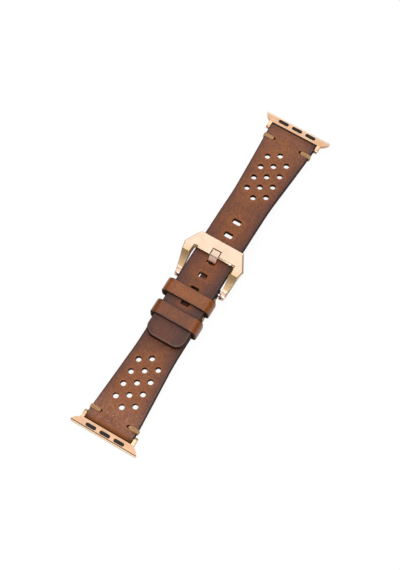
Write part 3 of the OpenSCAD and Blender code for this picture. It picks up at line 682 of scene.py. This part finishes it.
def leatherMaterial(name, look):
    # a ramp from light to dark, by the tone attribute, which also holds painted shade, and clouds
    # glow lies round the holes; on the lug fold it is painted shade, and on the keepers' bends partly pull-up
    # and partly a painted reflection; worn leather is dusty and scratched, and near the short lug its dust is
    # partly a painted sheen; the dark edge mark is burnished edge dye and also painted shade; a painted
    # highlight lies on the tip's rim
    material, tree, shader = newMaterial(name)
    where = millimetres(tree)
    big, small, fine = cloud(where, 11, 3, 0.6, 0.6), cloud(where, 2.4, 4, 0.65), cloud(where, 0.8, 3, 0.7)
    streaks = cloud(millimetres(tree, (0.35, 1.3, 1)), 1.6, 5, 0.6, 0.4)
    tone, worn, cut = [read(tree, mark) for mark in ("tone", "worn", "cut")]
    calm = spread(tone, 0.4, 0.85, (1.0, 0.45))
    for pattern, amount in ((big, 0.6), (small, 0.65), (streaks, 0.45), (fine, 0.95)):
        tone = calc("ADD", tone, times(calm, scaled(pattern, amount, -amount / 2)))
    glow = calc("MULTIPLY", read(tree, "glow"), scaled(small, 0.8, look["glowShare"] - 0.4), clamp=True)
    # near the short lug this dust is partly a painted sheen
    dustAndSheen = times(worn, spread(calc("ADD", small, times(fine, 0.5)), 0.5, 1.0, (0.0, 0.55)))
    noise = addNode("TexNoise", {"Vector": where, "Scale": 0.6}, "Color")
    bent = addNode("VectorMath", {0: where, 1: noise}, "Vector", operation="ADD")
    creases = times(worn, spread(pores(bent, 1.5, "DISTANCE_TO_EDGE"), 0.1, 0.0), spread(small, 0.4, 0.62))
    turned = {"Vector": millimetres(tree), "Rotation": (0, 0, 0.7), "Scale": (0.16, 1.6, 1)}
    scratch = times(worn, spread(cloud(addNode("Mapping", turned), 0.5, 4, 0.6, 1.2), 0.58, 0.66))
    colour = mixed(glow, ramp(tone, *look["ramp"]), look["glow"])
    colour = mixed(dustAndSheen, colour, look["dustAndSheen"])
    colour = mixed(times(creases, 0.7), colour, look["ramp"][-1][1:])
    colour = mixed(times(scratch, 0.5), colour, look["dustAndSheen"])
    speckle = scaled(cloud(where, 0.9, 2), 0.5, times(cloud(where, 0.35, 3, 0.7), 0.5))
    speckle = spread(speckle, 0.3, 0.7, (0.46, 1.46), "LINEAR")
    colour = mixed(1.0, colour, addNode("CombineColor", {0: speckle, 1: speckle, 2: speckle}), "MULTIPLY")
    # a painted highlight along the tip's rounded rim, in the dust colour
    colour = mixed(times(read(tree, "rubbed"), 0.6), colour, look["dustAndSheen"])
    rough = scaled(small, look["vary"], look["rough"] - look["vary"] / 2)
    waves = raised(cloud(where, 3.4, 3), 0.35, look["wave"])
    cells = raised(pores(where, look["size"]), 0.45, look["depth"], waves)
    marked = calc("ADD", scratch, times(creases, 1.5))
    hairs = raised(calc("SUBTRACT", cloud(where, 0.14, 2), marked), 0.3, look["depth"] * 0.7, cells)
    fill(shader, {"Base Color": mixed(cut, colour, look["cut"]), "Specular IOR Level": look["level"],
                  "Roughness": calc("ADD", rough, times(cut, 0.45), clamp=True), "Normal": hairs})
    return material


leathers = {
    "burnishedLeather": {
        "ramp": [(0.0, 152, 86, 34), (0.3, 133, 72, 28), (0.6, 112, 58, 30), (0.85, 92, 47, 31),
                 (1.0, 75, 38, 27)],
        "glow": (158, 84, 18), "glowShare": 0.75, "cut": (46, 24, 14), "dustAndSheen": (196, 132, 98),
        "rough": 0.42, "vary": 0.16, "level": 0.5, "size": 0.55, "depth": 0.05, "wave": 0.12,
    },
    "liningLeather": {
        "ramp": [(0.0, 190, 140, 92), (0.6, 170, 118, 72), (1.0, 118, 76, 46)],
        "glow": (176, 124, 76), "glowShare": 0.2, "cut": (44, 25, 16), "dustAndSheen": (200, 160, 120),
        "rough": 0.6, "vary": 0.12, "level": 0.4, "size": 0.7, "depth": 0.07, "wave": 0.1,
    },
    # its glow colour is the deep orange painted on the bends, partly pull-up and partly a painted reflection
    "keeperLeather": {
        "ramp": [(0.0, 152, 84, 26), (0.4, 130, 66, 18), (0.8, 102, 48, 16), (1.0, 76, 36, 14)],
        "glow": (138, 68, 2), "glowShare": 0.95, "cut": (34, 20, 10), "dustAndSheen": (170, 120, 90),
        "rough": 0.3, "vary": 0.12, "level": 0.7, "size": 0.5, "depth": 0.03, "wave": 0.1,
    },
}
topLeather, liningLeather, keeperLeather = [leatherMaterial(name, look) for name, look in leathers.items()]


def edgeMaterial():
    # raw edges, dyed and burnished
    material, tree, shader = newMaterial("edgeDye")
    where = millimetres(tree)
    grainy = scaled(cloud(where, 0.3, 3), 0.5, times(cloud(where, 2.5, 3), 0.5))
    fill(shader, {"Base Color": ramp(grainy, (0.35, 28, 15, 8), (0.65, 54, 30, 15)), "Roughness": 0.6,
                  "Specular IOR Level": 0.15, "Normal": raised(grainy, 0.5, 0.06)})
    return material


edgeDye = edgeMaterial()
print("leather materials ready")

# marks of burnish and of painted light and shade on the top leather
burnishAndPaintedLight = {
    "right": 0.75, "lining": (0.25, 0.75, 1.2),  # dark by the edges: amounts, and the lining's reach
    "vents": (32, 16), "buckleHoles": 1.1,       # glow: where it changes along the strap, and its reach
    # painted shade on the lug fold: where it starts, how it fades towards the corners, and the reaches of its
    # darkening at the plate
    "foldStart": (-0.1, -0.7), "foldSide": 1.5, "foldDark": 0.6, "foldDim": (-0.3, -1.9),
    # the tip's stretch; the reach of the painted shadow on the tip's edge; the painted rim highlight's
    # amount, place and width; a wider dark edge on the +y side: amount, reach across and width
    "tip": (104, 112), "tipEdge": 0.32, "rim": (0.45, 0.55, 0.15), "leftEdge": (0.75, 4, 0.36),
    # the widths of the dark edge mark and the share of painted shade in it; where the tip's edge sinks, and
    # how far in
    "cut": 0.12, "cutHole": 0.6, "cutShade": 0.9, "drop": (100, 108), "dropReach": 0.7,
}


def marks(edge, hole, tone, glow=0, worn=0, rubbed=0, shaded=0):
    # the dark edge mark is 1 on raw edges and falls off over the rounded edge, and it also takes the painted
    # shade given as shaded; both sides of the sheet share the marks
    cut = np.maximum(bell(edge, burnishAndPaintedLight["cut"]), burnishAndPaintedLight["cutHole"] * bell(hole, burnishAndPaintedLight["cut"]))
    cut = np.maximum(cut, burnishAndPaintedLight["cutShade"] * shaded)
    values = {"cut": cut, "glow": glow, "tone": tone, "worn": worn, "rubbed": rubbed}
    return {key: np.tile(value + 0 * tone, 2) for key, value in values.items()}


def topMarks(look, s, x, y, half, edge, hole, punch, atTip):
    # how dark the leather is: darker towards both edges, the tip and the lug's corners, and most where y < 0;
    # under the long half the short half is darker, as painted shade
    right, left = np.exp(-(half + y) / look["right"]), np.exp(-(half - y) / look["left"])
    tone = look["base"] + burnishAndPaintedLight["right"] * right + look["leftAmount"] * left
    for start, end, amount in look["zones"]:
        tone = tone + amount * fade(x, start, end)
    # painted shade: the fold round the lug bar is painted a deeper, darker orange, apart from its corners
    fold = fade(s, *burnishAndPaintedLight["foldStart"]) * (1 - np.exp(-(half - np.abs(y)) / burnishAndPaintedLight["foldSide"]))
    foldGlow, foldTone, darkest, before = look["fold"]
    near, far = look["glow"]
    glow = np.exp(-hole / (far + (near - far) * fade(x, *burnishAndPaintedLight["vents"])))
    glow = np.maximum(np.maximum(glow, foldGlow * fold), np.exp(-punch / burnishAndPaintedLight["buckleHoles"]))
    most, start, full = look["worn"]
    worn = most * fade(x, start, full) * (s > 0)
    # a painted highlight along the tip's rounded edge
    amount, place, width = burnishAndPaintedLight["rim"]
    rim = amount * bell(edge - place, width) * atTip
    amount, reach, width = burnishAndPaintedLight["leftEdge"]
    # painted shade: darkest where the fold meets the plate and dimmer before it, and a painted shadow on the
    # tip's edge; then a wider dark edge on the +y side
    shaded = [fade(s, darkest, darkest - burnishAndPaintedLight["foldDark"]), before * fade(s, *burnishAndPaintedLight["foldDim"]),
              atTip * np.exp(-(edge / burnishAndPaintedLight["tipEdge"]) ** 4),
              amount * fade(y, 0, reach) * bell(edge, width)]
    return marks(edge, hole, tone + foldTone * fold, glow, worn, rim, np.maximum.reduce(shaded))


def layOut(stops, ends, holes, toLug, tip):
    # the plan of a sheet; half width and distances from the outline and from the holes at each of its points
    s = gridLines(stops, strap["grain"])
    plan = punchedPlan(s, crossLines(*widths(toLug(s), s, tip)), holes)
    s, y = plan[0].T
    half, wide = widths(toLug(s), s, tip)
    return plan, s, y, half, edgeDistance(s, y, half, wide, ends, tip), nearestHole(plan[0], holes)


def leatherHalf(look, line, tip):
    # top leather and lining of one half, as points, faces, the number of wall sets, and marks
    def placed(y, x, z):
        return np.stack([look["lug"] + look["turn"] * x, y, z], 1)

    start, finish = line["s"][0], line["s"][-1]
    stitches = [look["stitch"], start + strap["lugFlap"] - look["stitch"]]
    stitchEdge = float(taperHalf(look["stitch"] - strap["stitchAt"]))
    punches = buckleHoles() if tip else []
    others = [*[hole["centre"][0] for hole in punches], tip - strap["tipRadius"]] if tip else []
    holes = ventHoles(look["vents"], strap["ventRadius"])
    for at, under in zip(stitches, (False, True)):
        holes += stitchHoles(at, stitchEdge, "lugLines", under)
    holes += punches or buckleEndHoles(look["length"], finish)
    if not tip:
        stitches += [look["length"] - strap["barStitch"], look["length"] - strap["keeperStitch"]]
    plan, s, y, half, edge, hole = layOut(sheetStops(start, finish, holes, others), (start, finish), holes,
                                          lambda s: pointAt(line, "grain", s)[0], tip)
    atTip = fade(s, *burnishAndPaintedLight["tip"]) * bool(tip)
    drop = strap["tipDrop"] * np.exp(-edge / burnishAndPaintedLight["dropReach"]) * fade(s, *burnishAndPaintedLight["drop"]) * bool(tip)
    dents = stitchDent(s, y, half, stitches) + handWaves(s, y, look["waves"]) + drop
    grain, flesh = [pointAt(line, side, s) for side in ("grain", "flesh")]
    shape = makeSheet(plan, placed(y, *grain), placed(y, *flesh), edge, hole,
                      (strap["edgeRound"], strap["holeRound"], strap["seamRound"]), dents)
    top = (*shape, topMarks(look, s, grain[0], y, half, edge, hole, nearestHole(plan[0], punches), atTip))

    # the lining follows from the end of the flap on
    first = strap["lugFlap"] + strap["liningGap"]
    last = tip or look["length"] - strap["buckleFlap"] - strap["liningGap"]
    holes = ventHoles(look["vents"], look["ventUnder"]) + punches
    stops = [v for v in sheetStops(first, last, holes, others) if v <= last]  # without one rounded past it
    plan, s, y, half, edge, hole = layOut(stops, (first, last), holes, lambda s: s, tip)
    middle, joint = middleHeight(s, look), (strap["liningThick"] - strap["topThick"]) / 2 - strap["joint"]
    shape = makeSheet(plan, placed(y, s, middle - halfThick), placed(y, s, middle + joint), edge, hole,
                      strap["liningRound"], 0)
    base, amount, reach = burnishAndPaintedLight["lining"]
    return top, (*shape, marks(edge, hole, base + amount * np.exp(-(half - np.abs(y)) / reach)))


for which, look in halves.items():
    tip = look["length"] if which == "long" else 0
    if tip:
        line = leatherLine(lugPart(look), topPart(look, tip))
    else:
        top = topPart(look, look["length"] - strap["keeperAt"] + strap["pocket"])
        line = leatherLine(lugPart(look), top, bucklePart(look["length"]))
    for sheet, name, leather, slotName, node in zip(
            leatherHalf(look, line, tip), ("TopLeather", "Lining"), (topLeather, liningLeather),
            ("strap_leather", "lining_leather"), ("_strap_outer", "_strap_lining")):
        points, faces, walls, values = sheet
        newPiece(which + name, ("strap", slotName, which + node), points, faces, values, leather, edgeDye,
                 edgeSets=walls)
        print(which + name, len(points), "points")


def roundCorners(left, right, low, high, radii, count):
    # round corners of a rectangle, counterclockwise from the right lower one; radii are below and above
    lower, upper = radii
    turns = [(right - lower, low + lower, lower, -90), (right - upper, high - upper, upper, 0),
             (left + upper, high - upper, upper, 90), (left + lower, low + lower, lower, 180)]
    return [arcPoints(r, math.radians(a), math.radians(a + 90), count) + [x, z] for x, z, r, a in turns]


def roundedLoop(left, right, low, high, radii, step, count=12):
    # such a rectangle as even steps from the middle of its lower side, without the last point
    start = np.array([[(left + right) / 2, low]])
    outline = np.concatenate([start, *roundCorners(left, right, low, high, radii, count), start])
    length = measured(outline)
    even = np.linspace(0, length[-1], int(round(length[-1] / step)) + 1)[:-1]
    return np.stack([np.interp(even, length, outline[:, k]) for k in (0, 1)], 1)


def between(first, second, share):
    # the ruled surface from one path to another, as the two coordinates at each share of the way
    return [first[:, k, None] + (second - first)[:, k, None] * share for k in (0, 1)]


keepers = {
    "width": 7.0, "thick": 1.6, "inHalf": 10.15, "inRadius": 0.6, "outRadii": (2.2, 3.6), "seam": 0.2,
    "round": 0.42, "crown": 0.05, "sectionCounts": (19, 7),  # points on a face and on a corner of the section
    "uneven": ((0.06, 3, 1), (0.03, 7, 2)), "drift": 0.4,    # waves along the band: height, number and shift
    "counts": (28, 18, 16, 60),  # points on half the lower side, a corner, a wall and the top
    "ripple": 0.045, "rippleLength": 0.75, "rippleIn": (1.1, 1.3), "rippleReach": 1.8,
    # the bends' painted colour: where it rises and falls off across, the height above which it lies, its
    # share on the +y side and past the bend, and the tone it adds
    "bend": (7.3, 8.1), "bendEnd": (10.5, 11.3), "bendOver": 3, "bendLight": 0.4, "bendTone": 0.15,
    "cut": (0.12, 0.2), "edgeTone": (0.5, 0.7), "edgeBand": 0.1,
    "fixed": {"low": 1.55, "high": 9.9, "slack": 1.1, "tone": 0.1, "body": "strap", "node": "fixed_keeper"},
    "loose": {"low": 0.0, "high": 9.9, "slack": 0.3, "tone": 0.54, "body": "loose_keeper",
              "node": "floating_keeper"},
}


def boxLoop(left, right, low, high, radii):
    # a rounded rectangle from 0 on its lower side round to it, with set numbers of points on its parts
    flat, turn, side, top = keepers["counts"]
    arcs = roundCorners(left, right, low, high, radii, turn)
    parts = [np.linspace((0, low), arcs[0][0], flat, endpoint=False)]
    for arc, after, count in zip(arcs, arcs[1:], (side, top, side)):
        parts += [arc, np.linspace(arc[-1], after[0], count + 2)[1:-1]]
    return np.concatenate([*parts, arcs[3], np.linspace(arcs[3][-1], (0, low), flat + 1)[1:]])


def keeperProfile():
    # section of the band, u along the strap and v outwards, and its distance from the cut edges
    half, thick, r = keepers["width"] / 2, keepers["thick"] / 2, keepers["round"]
    across, turn = keepers["sectionCounts"]
    run = (half - r) * np.sin(math.pi / 2 * np.linspace(-1, 1, across))[1:-1]
    turns = roundCorners(-half, half, -thick, thick, (r, r), turn)
    lower, upper = np.stack([run, 0 * run - thick], 1), np.stack([-run, 0 * run + thick], 1)
    profile = np.concatenate([lower, *turns[:2], upper, *turns[2:]])
    profile[:, 1] += np.where(profile[:, 1] > 0, keepers["crown"] * (1 - (profile[:, 0] / half) ** 2), 0)
    return profile, half - np.abs(profile[:, 0])


def makeKeeper(name, look):
    # the band's profile carried round the strap between two rounded rectangles, open at the seam
    x, half, thick, slack = places[name], keepers["inHalf"], keepers["thick"], look["slack"]
    low, high, reach = look["low"], look["high"], half + thick
    inner = boxLoop(-half, half + slack, low + thick, high - thick, (keepers["inRadius"],) * 2)
    outer = boxLoop(-reach, half + slack + thick, low, high, keepers["outRadii"])
    for path in (inner, outer):
        path[0, 0], path[-1, 0] = keepers["seam"] / 2, -keepers["seam"] / 2
    out = (outer - inner) / np.linalg.norm(outer - inner, axis=1, keepdims=True)
    t = measured(outer)
    # the stretched grain of the -y side's bend stands in low ripples
    past = np.abs(outer - [keepers["rippleIn"][0] - reach, high - keepers["rippleIn"][1]]).max(1)
    ripple = keepers["ripple"] * np.sin(t * 2 * math.pi / keepers["rippleLength"])
    outer += out * (ripple * (1 - fade(past, 0, keepers["rippleReach"])))[:, None]
    profile, inside = keeperProfile()
    share = profile[None, :, 1] / thick + 0.5
    slow, quick = [amount * np.sin(2 * math.pi * number * t / t[-1] + shift * x)
                   for amount, number, shift in keepers["uneven"]]
    uneven = (slow + quick)[:, None]
    across = x + profile[None, :, 0] * (1 + uneven / keepers["width"]) + keepers["drift"] * uneven
    points = np.stack([across, *between(inner, outer, share)], -1).reshape(-1, 3)
    # where the band turns down it is painted a deeper orange, partly the leather's pull-up and partly a
    # painted reflection; less so on the +y side
    side, light = np.abs(outer[:, 0]), outer[:, 0] > 0
    lower = keepers["bendLight"] * fade(side - slack * light, *keepers["bendEnd"])
    bend = fade(side, *keepers["bend"]) * (1 - lower)
    bend = (bend * (outer[:, 1] > keepers["bendOver"]) * np.where(light, keepers["bendLight"], 1.0))[:, None]
    (rim, fall), (amount, depth) = keepers["cut"], keepers["edgeTone"]
    values = {
        "cut": bell(np.maximum(inside - rim, 0), fall), "glow": bend, "worn": 0,
        "tone": look["tone"] + amount * np.exp(-inside / depth) + keepers["bendTone"] * bend,
    }
    values = {key: (value + 0 * across).ravel() for key, value in values.items()}
    faces = tubeFaces(len(outer), len(profile))
    atEdge = inside[faces[:, 0] % len(profile)] < keepers["edgeBand"]
    faceSets = [faces[~atEdge], faces[atEdge], *capFaces(len(outer), len(profile))]
    newPiece(name, (look["body"], "keeper_leather", look["node"]), points, faceSets, values, keeperLeather,
             edgeDye, edgeSets=3)


for which in ("fixed", "loose"):
    makeKeeper(which + "Keeper", keepers[which])
print("keepers ready")

stitching = {
    "radius": 0.26, "ply": 0.12, "twist": 23, "turns": (-0.6, 0.0, 0.6), "inHole": 0.45, "holeFade": 0.9,
    "outside": 0.3, "corner": 0.45, "step": 0.075, "around": 14, "sway": 0.03, "sink": 0.05,
    "phases": (0.21, 0.13),  # from turn to turn and from side to side
    "barRuns": (0.33, 4.6), "keeperRuns": (1.75, 4.6),  # heights of the lower and the upper run
}


def threadTurn(x, side, inner, outer, low, high, offset, phase):
    # a turn of three-ply thread: a circle with three lobes, which twist as it goes round a rounded rectangle
    path = roundedLoop(inner, outer, low, high, (stitching["corner"],) * 2, stitching["step"])
    tangent = np.roll(path, -1, 0) - np.roll(path, 1, 0)
    tangent /= np.linalg.norm(tangent, axis=1, keepdims=True)
    t = np.arange(len(path)) / len(path)
    angle = np.arange(stitching["around"]) / stitching["around"] * 2 * math.pi
    twist = 2 * math.pi * (stitching["twist"] * t[:, None] + phase)
    lobes = 1 + stitching["ply"] * np.cos(3 * angle[None, :] - twist)
    r = stitching["radius"] * lobes
    squeeze = 1 - (1 - stitching["inHole"]) * (1 - fade(path[:, 0] - inner, 0, stitching["holeFade"]))
    middle = x + offset * squeeze + stitching["sway"] * np.sin(2 * math.pi * (2 * t + phase)) * squeeze
    y, z = [path[:, k, None] + out[:, None] * r * np.cos(angle)
            for k, out in enumerate((tangent[:, 1], -tangent[:, 0]))]
    points = np.stack([middle[:, None] + r * np.sin(angle), side * y, z], -1).reshape(-1, 3)
    # painted shade in the grooves between the plies: 1 in a groove, -1 on a lobe's crest
    groove = (1 - lobes) / stitching["ply"]
    return points, [tubeFaces(len(path), len(angle), closed=True)], {"groove": groove.ravel()}


def makeStitches(name, node, rows):
    # rows: x, half width of the leather, heights of the lower and the upper run
    inside, (nextTurn, mirror) = strap["stitchRun"] - strap["stitchIn"], stitching["phases"]
    turns = [threadTurn(x, side, half + inside, half + stitching["outside"], low, high, offset,
                        nextTurn * number + mirror * side)
             for x, half, low, high in rows for side in (-1, 1)
             for number, offset in enumerate(stitching["turns"])]
    newPiece(name, ("strap", "thread", node), *joinParts(turns), thread)


def threadMaterial():
    material, tree, shader = newMaterial("waxedThread")
    # painted shade in the grooves between the plies, and clouds of tone
    dark = scaled(read(tree, "groove"), 0.35, 0.3, clamp=True)
    dark = calc("ADD", dark, scaled(cloud(millimetres(tree), 0.5, 3), 0.5, -0.25), clamp=True)
    fibres = cloud(millimetres(tree, (3, 1, 1)), 0.16, 2)
    fill(shader, {"Base Color": ramp(dark, (0.0, 224, 182, 132), (0.5, 178, 132, 84), (1.0, 92, 56, 28)),
                  "Roughness": 0.55, "Normal": raised(fibres, 0.5, 0.03)})
    return material


thread = threadMaterial()
for which, look in halves.items():
    at, reach = look["stitch"], halfThick - stitching["sink"]
    half, middle = float(taperHalf(at - strap["stitchAt"])), float(middleHeight(at, look))
    makeStitches(which + "LugStitches", which + "_lug_stitches",
                 [(look["lug"] + look["turn"] * at, half, middle - reach, middle + reach)])
makeStitches("buckleStitches", "buckle_stitches",
             [(places["pin"] - strap[stitch + "Stitch"], strap["tailHalf"], *stitching[stitch + "Runs"])
              for stitch in ("bar", "keeper")])
print("stitches ready")


def metalMaterial(name, light, dark, rough, across, relief, paintedLight=None, form=None):
    # satin metal: tone drifts a little, fine lines run along the brushing direction, painted light and shade
    # are added last
    material, tree, shader = newMaterial(name)
    colour = ramp(cloud(millimetres(tree), 5, 3), (0.3, *dark), (0.7, *light))
    lines = cloud(millimetres(tree, (1, across, 1)), 0.25, 4, 0.7)
    fill(shader, {"Base Color": paintedLight(tree, colour) if paintedLight else colour, "Metallic": 1.0,
                  "Roughness": scaled(lines, 0.16, rough - 0.08),
                  "Normal": raised(lines, 0.35, relief, form(tree) if form else None)})
    return material


def buckleForm(tree):
    # the chamfer round the opening's front and the arms look a little flatter than they are
    x, y, z = axes(tree)
    inFront = times(spread(z, 10.0, 10.1), spread(calc("ABSOLUTE", y), 9.4, 8.6))
    slope, arms = spread(x, 9.175, 8.425, kind="LINEAR"), spread(x, 4.8, -2.6, kind="LINEAR")
    return raised(scaled(arms, 5.4, times(slope, inFront)), 1.0, 0.39)


def adapterPaintedLight(tree, colour):
    # painted light: a painted highlight on the pale lip, and on the long one's outer part; on the short one
    # painted shade as dark lines in the step before the lip and at its outer edge, and arms a little olive as
    # a painted reflection
    along = axes(tree)
    fields = {name: calc("ABSOLUTE", part) for name, part in zip("xyz", along)}
    fields.update(along=along[0], short=spread(along[0], 10, -10))
    return paintedOver(colour, fields, (
        ((255, 232, 200), 1.0, ("x", 87.8, 87.9)),
        ((244, 226, 208), 0.8, ("along", 87.3, 87.5)),
        ((108, 68, 36), 0.9, ("short",), ("x", 87.54, 87.8, 0.05), ("z", 2.3, 2.5)),
        ((150, 116, 92), 0.8, ("short",), ("x", 88.24, 88.4, 0.05), ("z", 2.5, 2.7, 0.05)),
        ((184, 154, 112), 0.5, ("short",), ("x", 84.2, 82.6), ("y", 12.0, 12.2)),
    ))


def bucklePaintedLight(tree, colour):
    # painted light: the arms are painted golden as a painted reflection, and the eyes kept rosy; dark lines
    # of painted shade and reflection lie along the opening's rim, on the outer chamfers, darker on the -y
    # side, and along the corner cut; painted shadow lies round the notch and on the opening's inner front
    # wall
    x, y, z = axes(tree)
    side, normal = calc("ABSOLUTE", y), axes(tree, "Normal", 1)
    armReflection = mixed(spread(x, -1.0, 6.5), (184, 148, 104), (240, 206, 158))
    dark, line = spread(y, 5.0, -5.0, (0.35, 0.95)), (124, 84, 56)
    fields = {
        "x": x, "y": y, "z": z, "side": side, "slanted": within(normal[2], 0.45, 0.86, 0.1),
        "outer": times(spread(side, 11.6, 11.9), spread(calc("ABSOLUTE", normal[1]), 0.3, 0.45)),
        "corner": scaled(x, 0.49, times(side, 0.87)),
        "inside": times(within(x, 8.35, 8.5, 0.05), spread(z, 10.05, 9.95)),
    }
    return paintedOver(colour, fields, (
        (armReflection, 0.8, ("x", 9.0, 4.5), ("x", -2.4, -1.2)),
        ((238, 204, 184), 0.9, ("x", -1.2, -2.4)),
        ((146, 102, 82), dark, ("slanted",), ("outer",), ("x", 8.3, 8.8)),
        ((120, 98, 66), 0.85, ("slanted",), ("outer",), ("x", 8.8, 8.3)),
        ((170, 124, 98), 0.85, ("corner", 16.8, 16.95), ("y", -10.8, -11.2)),
        ((110, 76, 46), 0.85, ("inside",), ("side", 11.0, 10.8)),
        (line, 0.75, ("z", 10.3, 10.5), ("x", 9.05, 9.12, 0.05), ("side", 11.0, 10.8)),
        (line, 0.6, ("side", 2.2, 2.38, 0.05), ("x", 11.95, 11.8), ("z", 8.0, 8.2)),
        (line, 0.8, ("x", 11.6, 11.8, 0.05), ("side", 2.55, 2.45), ("z", 8.0, 8.2)),
    ))


def tonguePaintedLight(tree, colour):
    # painted shade as a dark line on the crease where the tip levels off, and a rosy painted reflection on
    # the riser below it
    fields = {name: read(tree, name) for name in ("riser", "crease")}
    return paintedOver(colour, fields, (((236, 194, 178), 1.0, ("riser",)), ((96, 66, 52), 0.9, ("crease",))))


satinGold, tongueGold, roseGold, barSteel = [metalMaterial(*look) for look in (
    ("satinGold", (249, 228, 204), (240, 211, 183), 0.3, 0.12, 0.008, bucklePaintedLight, buckleForm),
    ("tongueGold", (244, 219, 197), (234, 203, 180), 0.24, 0.12, 0.008, tonguePaintedLight),
    ("roseGold", (230, 190, 158), (218, 172, 136), 0.28, 0.1, 0.003, adapterPaintedLight),
    ("barSteel", (205, 203, 200), (176, 174, 171), 0.3, 0.15, 0.012),
)]


def insertMaterial():
    # moulded black plastic
    material, tree, shader = newMaterial("blackInsert")
    where = millimetres(tree)
    mould = cloud(where, 0.3, 3)
    fill(shader, {"Base Color": ramp(mould, (0.3, 28, 21, 17), (0.7, 44, 36, 30)), "Specular IOR Level": 0.28,
                  "Roughness": scaled(mould, 0.25, 0.35),
                  "Normal": raised(cloud(where, 0.08, 2), 0.4, 0.015)})
    return material


blackInsert = insertMaterial()
edging = {"weld": 1e-6, "flat": 0.6, "limit": 28, "segments": 3}  # m, degrees, degrees
lugFinish = {
    "adapter_frame": (roseGold, 0.05), "lug_screws": (roseGold, 0.05), "lug_bar": (barSteel, 0.05),
    "adapter_pads": (blackInsert, 0.05), "latch_button": (blackInsert, 0.06), "latch_cover": (roseGold, 0.05),
    "latch_spring": (barSteel, 0),
}


def finishNode(name, material, bevel):
    # a CAD node keeps its mesh; its triangles are merged, its edges rounded and its finish replaced
    thing = frame["nodes"][name]
    weld = thing.modifiers.new("weld", "WELD")
    weld.merge_threshold = edging["weld"]
    flat = thing.modifiers.new("flat", "DECIMATE")
    flat.decimate_type, flat.angle_limit, flat.delimit = "DISSOLVE", math.radians(edging["flat"]), {"NORMAL"}
    if bevel:
        edges = thing.modifiers.new("edges", "BEVEL")
        edges.width, edges.segments = bevel * mm, edging["segments"]
        edges.limit_method, edges.angle_limit = "ANGLE", math.radians(edging["limit"])
        edges.harden_normals, edges.use_clamp_overlap, edges.miter_outer = True, True, "MITER_ARC"
    for slot in thing.material_slots:
        slot.material = material


finishNode("buckle_frame", satinGold, 0.14)
finishNode("buckle_screws", satinGold, 0.05)
finishNode("buckle_bar", barSteel, 0.05)
for which in halves:
    for node, (material, bevel) in lugFinish.items():
        finishNode(which + "_" + node, material, bevel)
print("metal parts finished")


tongue = {
    "rootRadius": 1.9, "hole": 0.98, "half": 2.05, "sectionRound": (0.24, 0.24), "ringRound": (0.1, 0.25),
    # side view from the pin to the tip, x forwards and z up from the pin's axis
    "upper": [(1.3, 0.7), (10.0, 0.7), (10.0, 5.83), (11.95, 8.36), (12.3, 8.48), (15.2, 8.48), (15.5, 8.22)],
    "lower": [(1.3, -0.7), (11.35, -0.7), (11.35, 5.78), (12.2, 6.8), (12.55, 7.08), (15.2, 7.08),
              (15.5, 7.2)],
    "between": (36, 24, 16, 6, 18, 6), "soft": 0.55, "softStep": 0.02,
    "step": 0.16, "ringStep": 0.13, "around": 64, "tipAt": 15.1, "tipLength": 0.4, "tipNarrow": 0.12,
    "crease": (12.25, 0.17, 0.6), "riser": (11.9, 11.0, 0.1),
}


def makeTongue():
    # a strip whose rounded section follows the side view, and a barrel turned round the pin
    sides = []
    for side in (np.array(tongue["upper"]), np.array(tongue["lower"])):
        line = [np.linspace(side[k], side[k + 1], n, endpoint=False) for k, n in enumerate(tongue["between"])]
        sides.append(softened(np.concatenate([*line, side[-1:]]), tongue["soft"], tongue["softStep"]))
    upper, lower = sides
    half, pin, height = tongue["half"], places["pin"], places["pinHeight"]
    section = roundedLoop(-half, half, -0.5, 0.5, tongue["sectionRound"], tongue["step"])
    away = np.maximum(upper[:, 0] - tongue["tipAt"], 0) / tongue["tipLength"]
    y = section[None, :, 0] * (1 - tongue["tipNarrow"] * away ** 2)[:, None]
    share = section[None, :, 1] + 0.5
    x, z = between(lower, upper, share)
    points = np.stack([pin + x, y, height + z], -1).reshape(-1, 3)
    faces = [tubeFaces(len(upper), len(section)), *capFaces(len(upper), len(section))]
    u, v = roundedLoop(-half, half, tongue["hole"], tongue["rootRadius"], tongue["ringRound"],
                       tongue["ringStep"]).T
    angle = (np.arange(tongue["around"]) / tongue["around"] * 2 * math.pi)[:, None]
    barrel = np.stack([pin + v * np.cos(angle), u + 0 * angle, height + v * np.sin(angle)], -1).reshape(-1, 3)
    # where the tongue's material paints a dark line of shade on the crease and a rosy reflection on the riser
    place, width, above = tongue["crease"]
    start, full, over = tongue["riser"]
    values = {"crease": (bell(x - place, width) * (share > above)).ravel(),
              "riser": (fade(x, start, full) * (share > over)).ravel()}
    plain = {key: np.zeros(len(barrel)) for key in values}
    wall = [tubeFaces(len(angle), len(u), closed=True)]
    newPiece("tongueStrip", ("tongue", "satin_gold", "buckle_tongue"),
             *joinParts([(points, faces, values), (barrel, wall, plain)]), tongueGold)


makeTongue()
print("tongue ready")
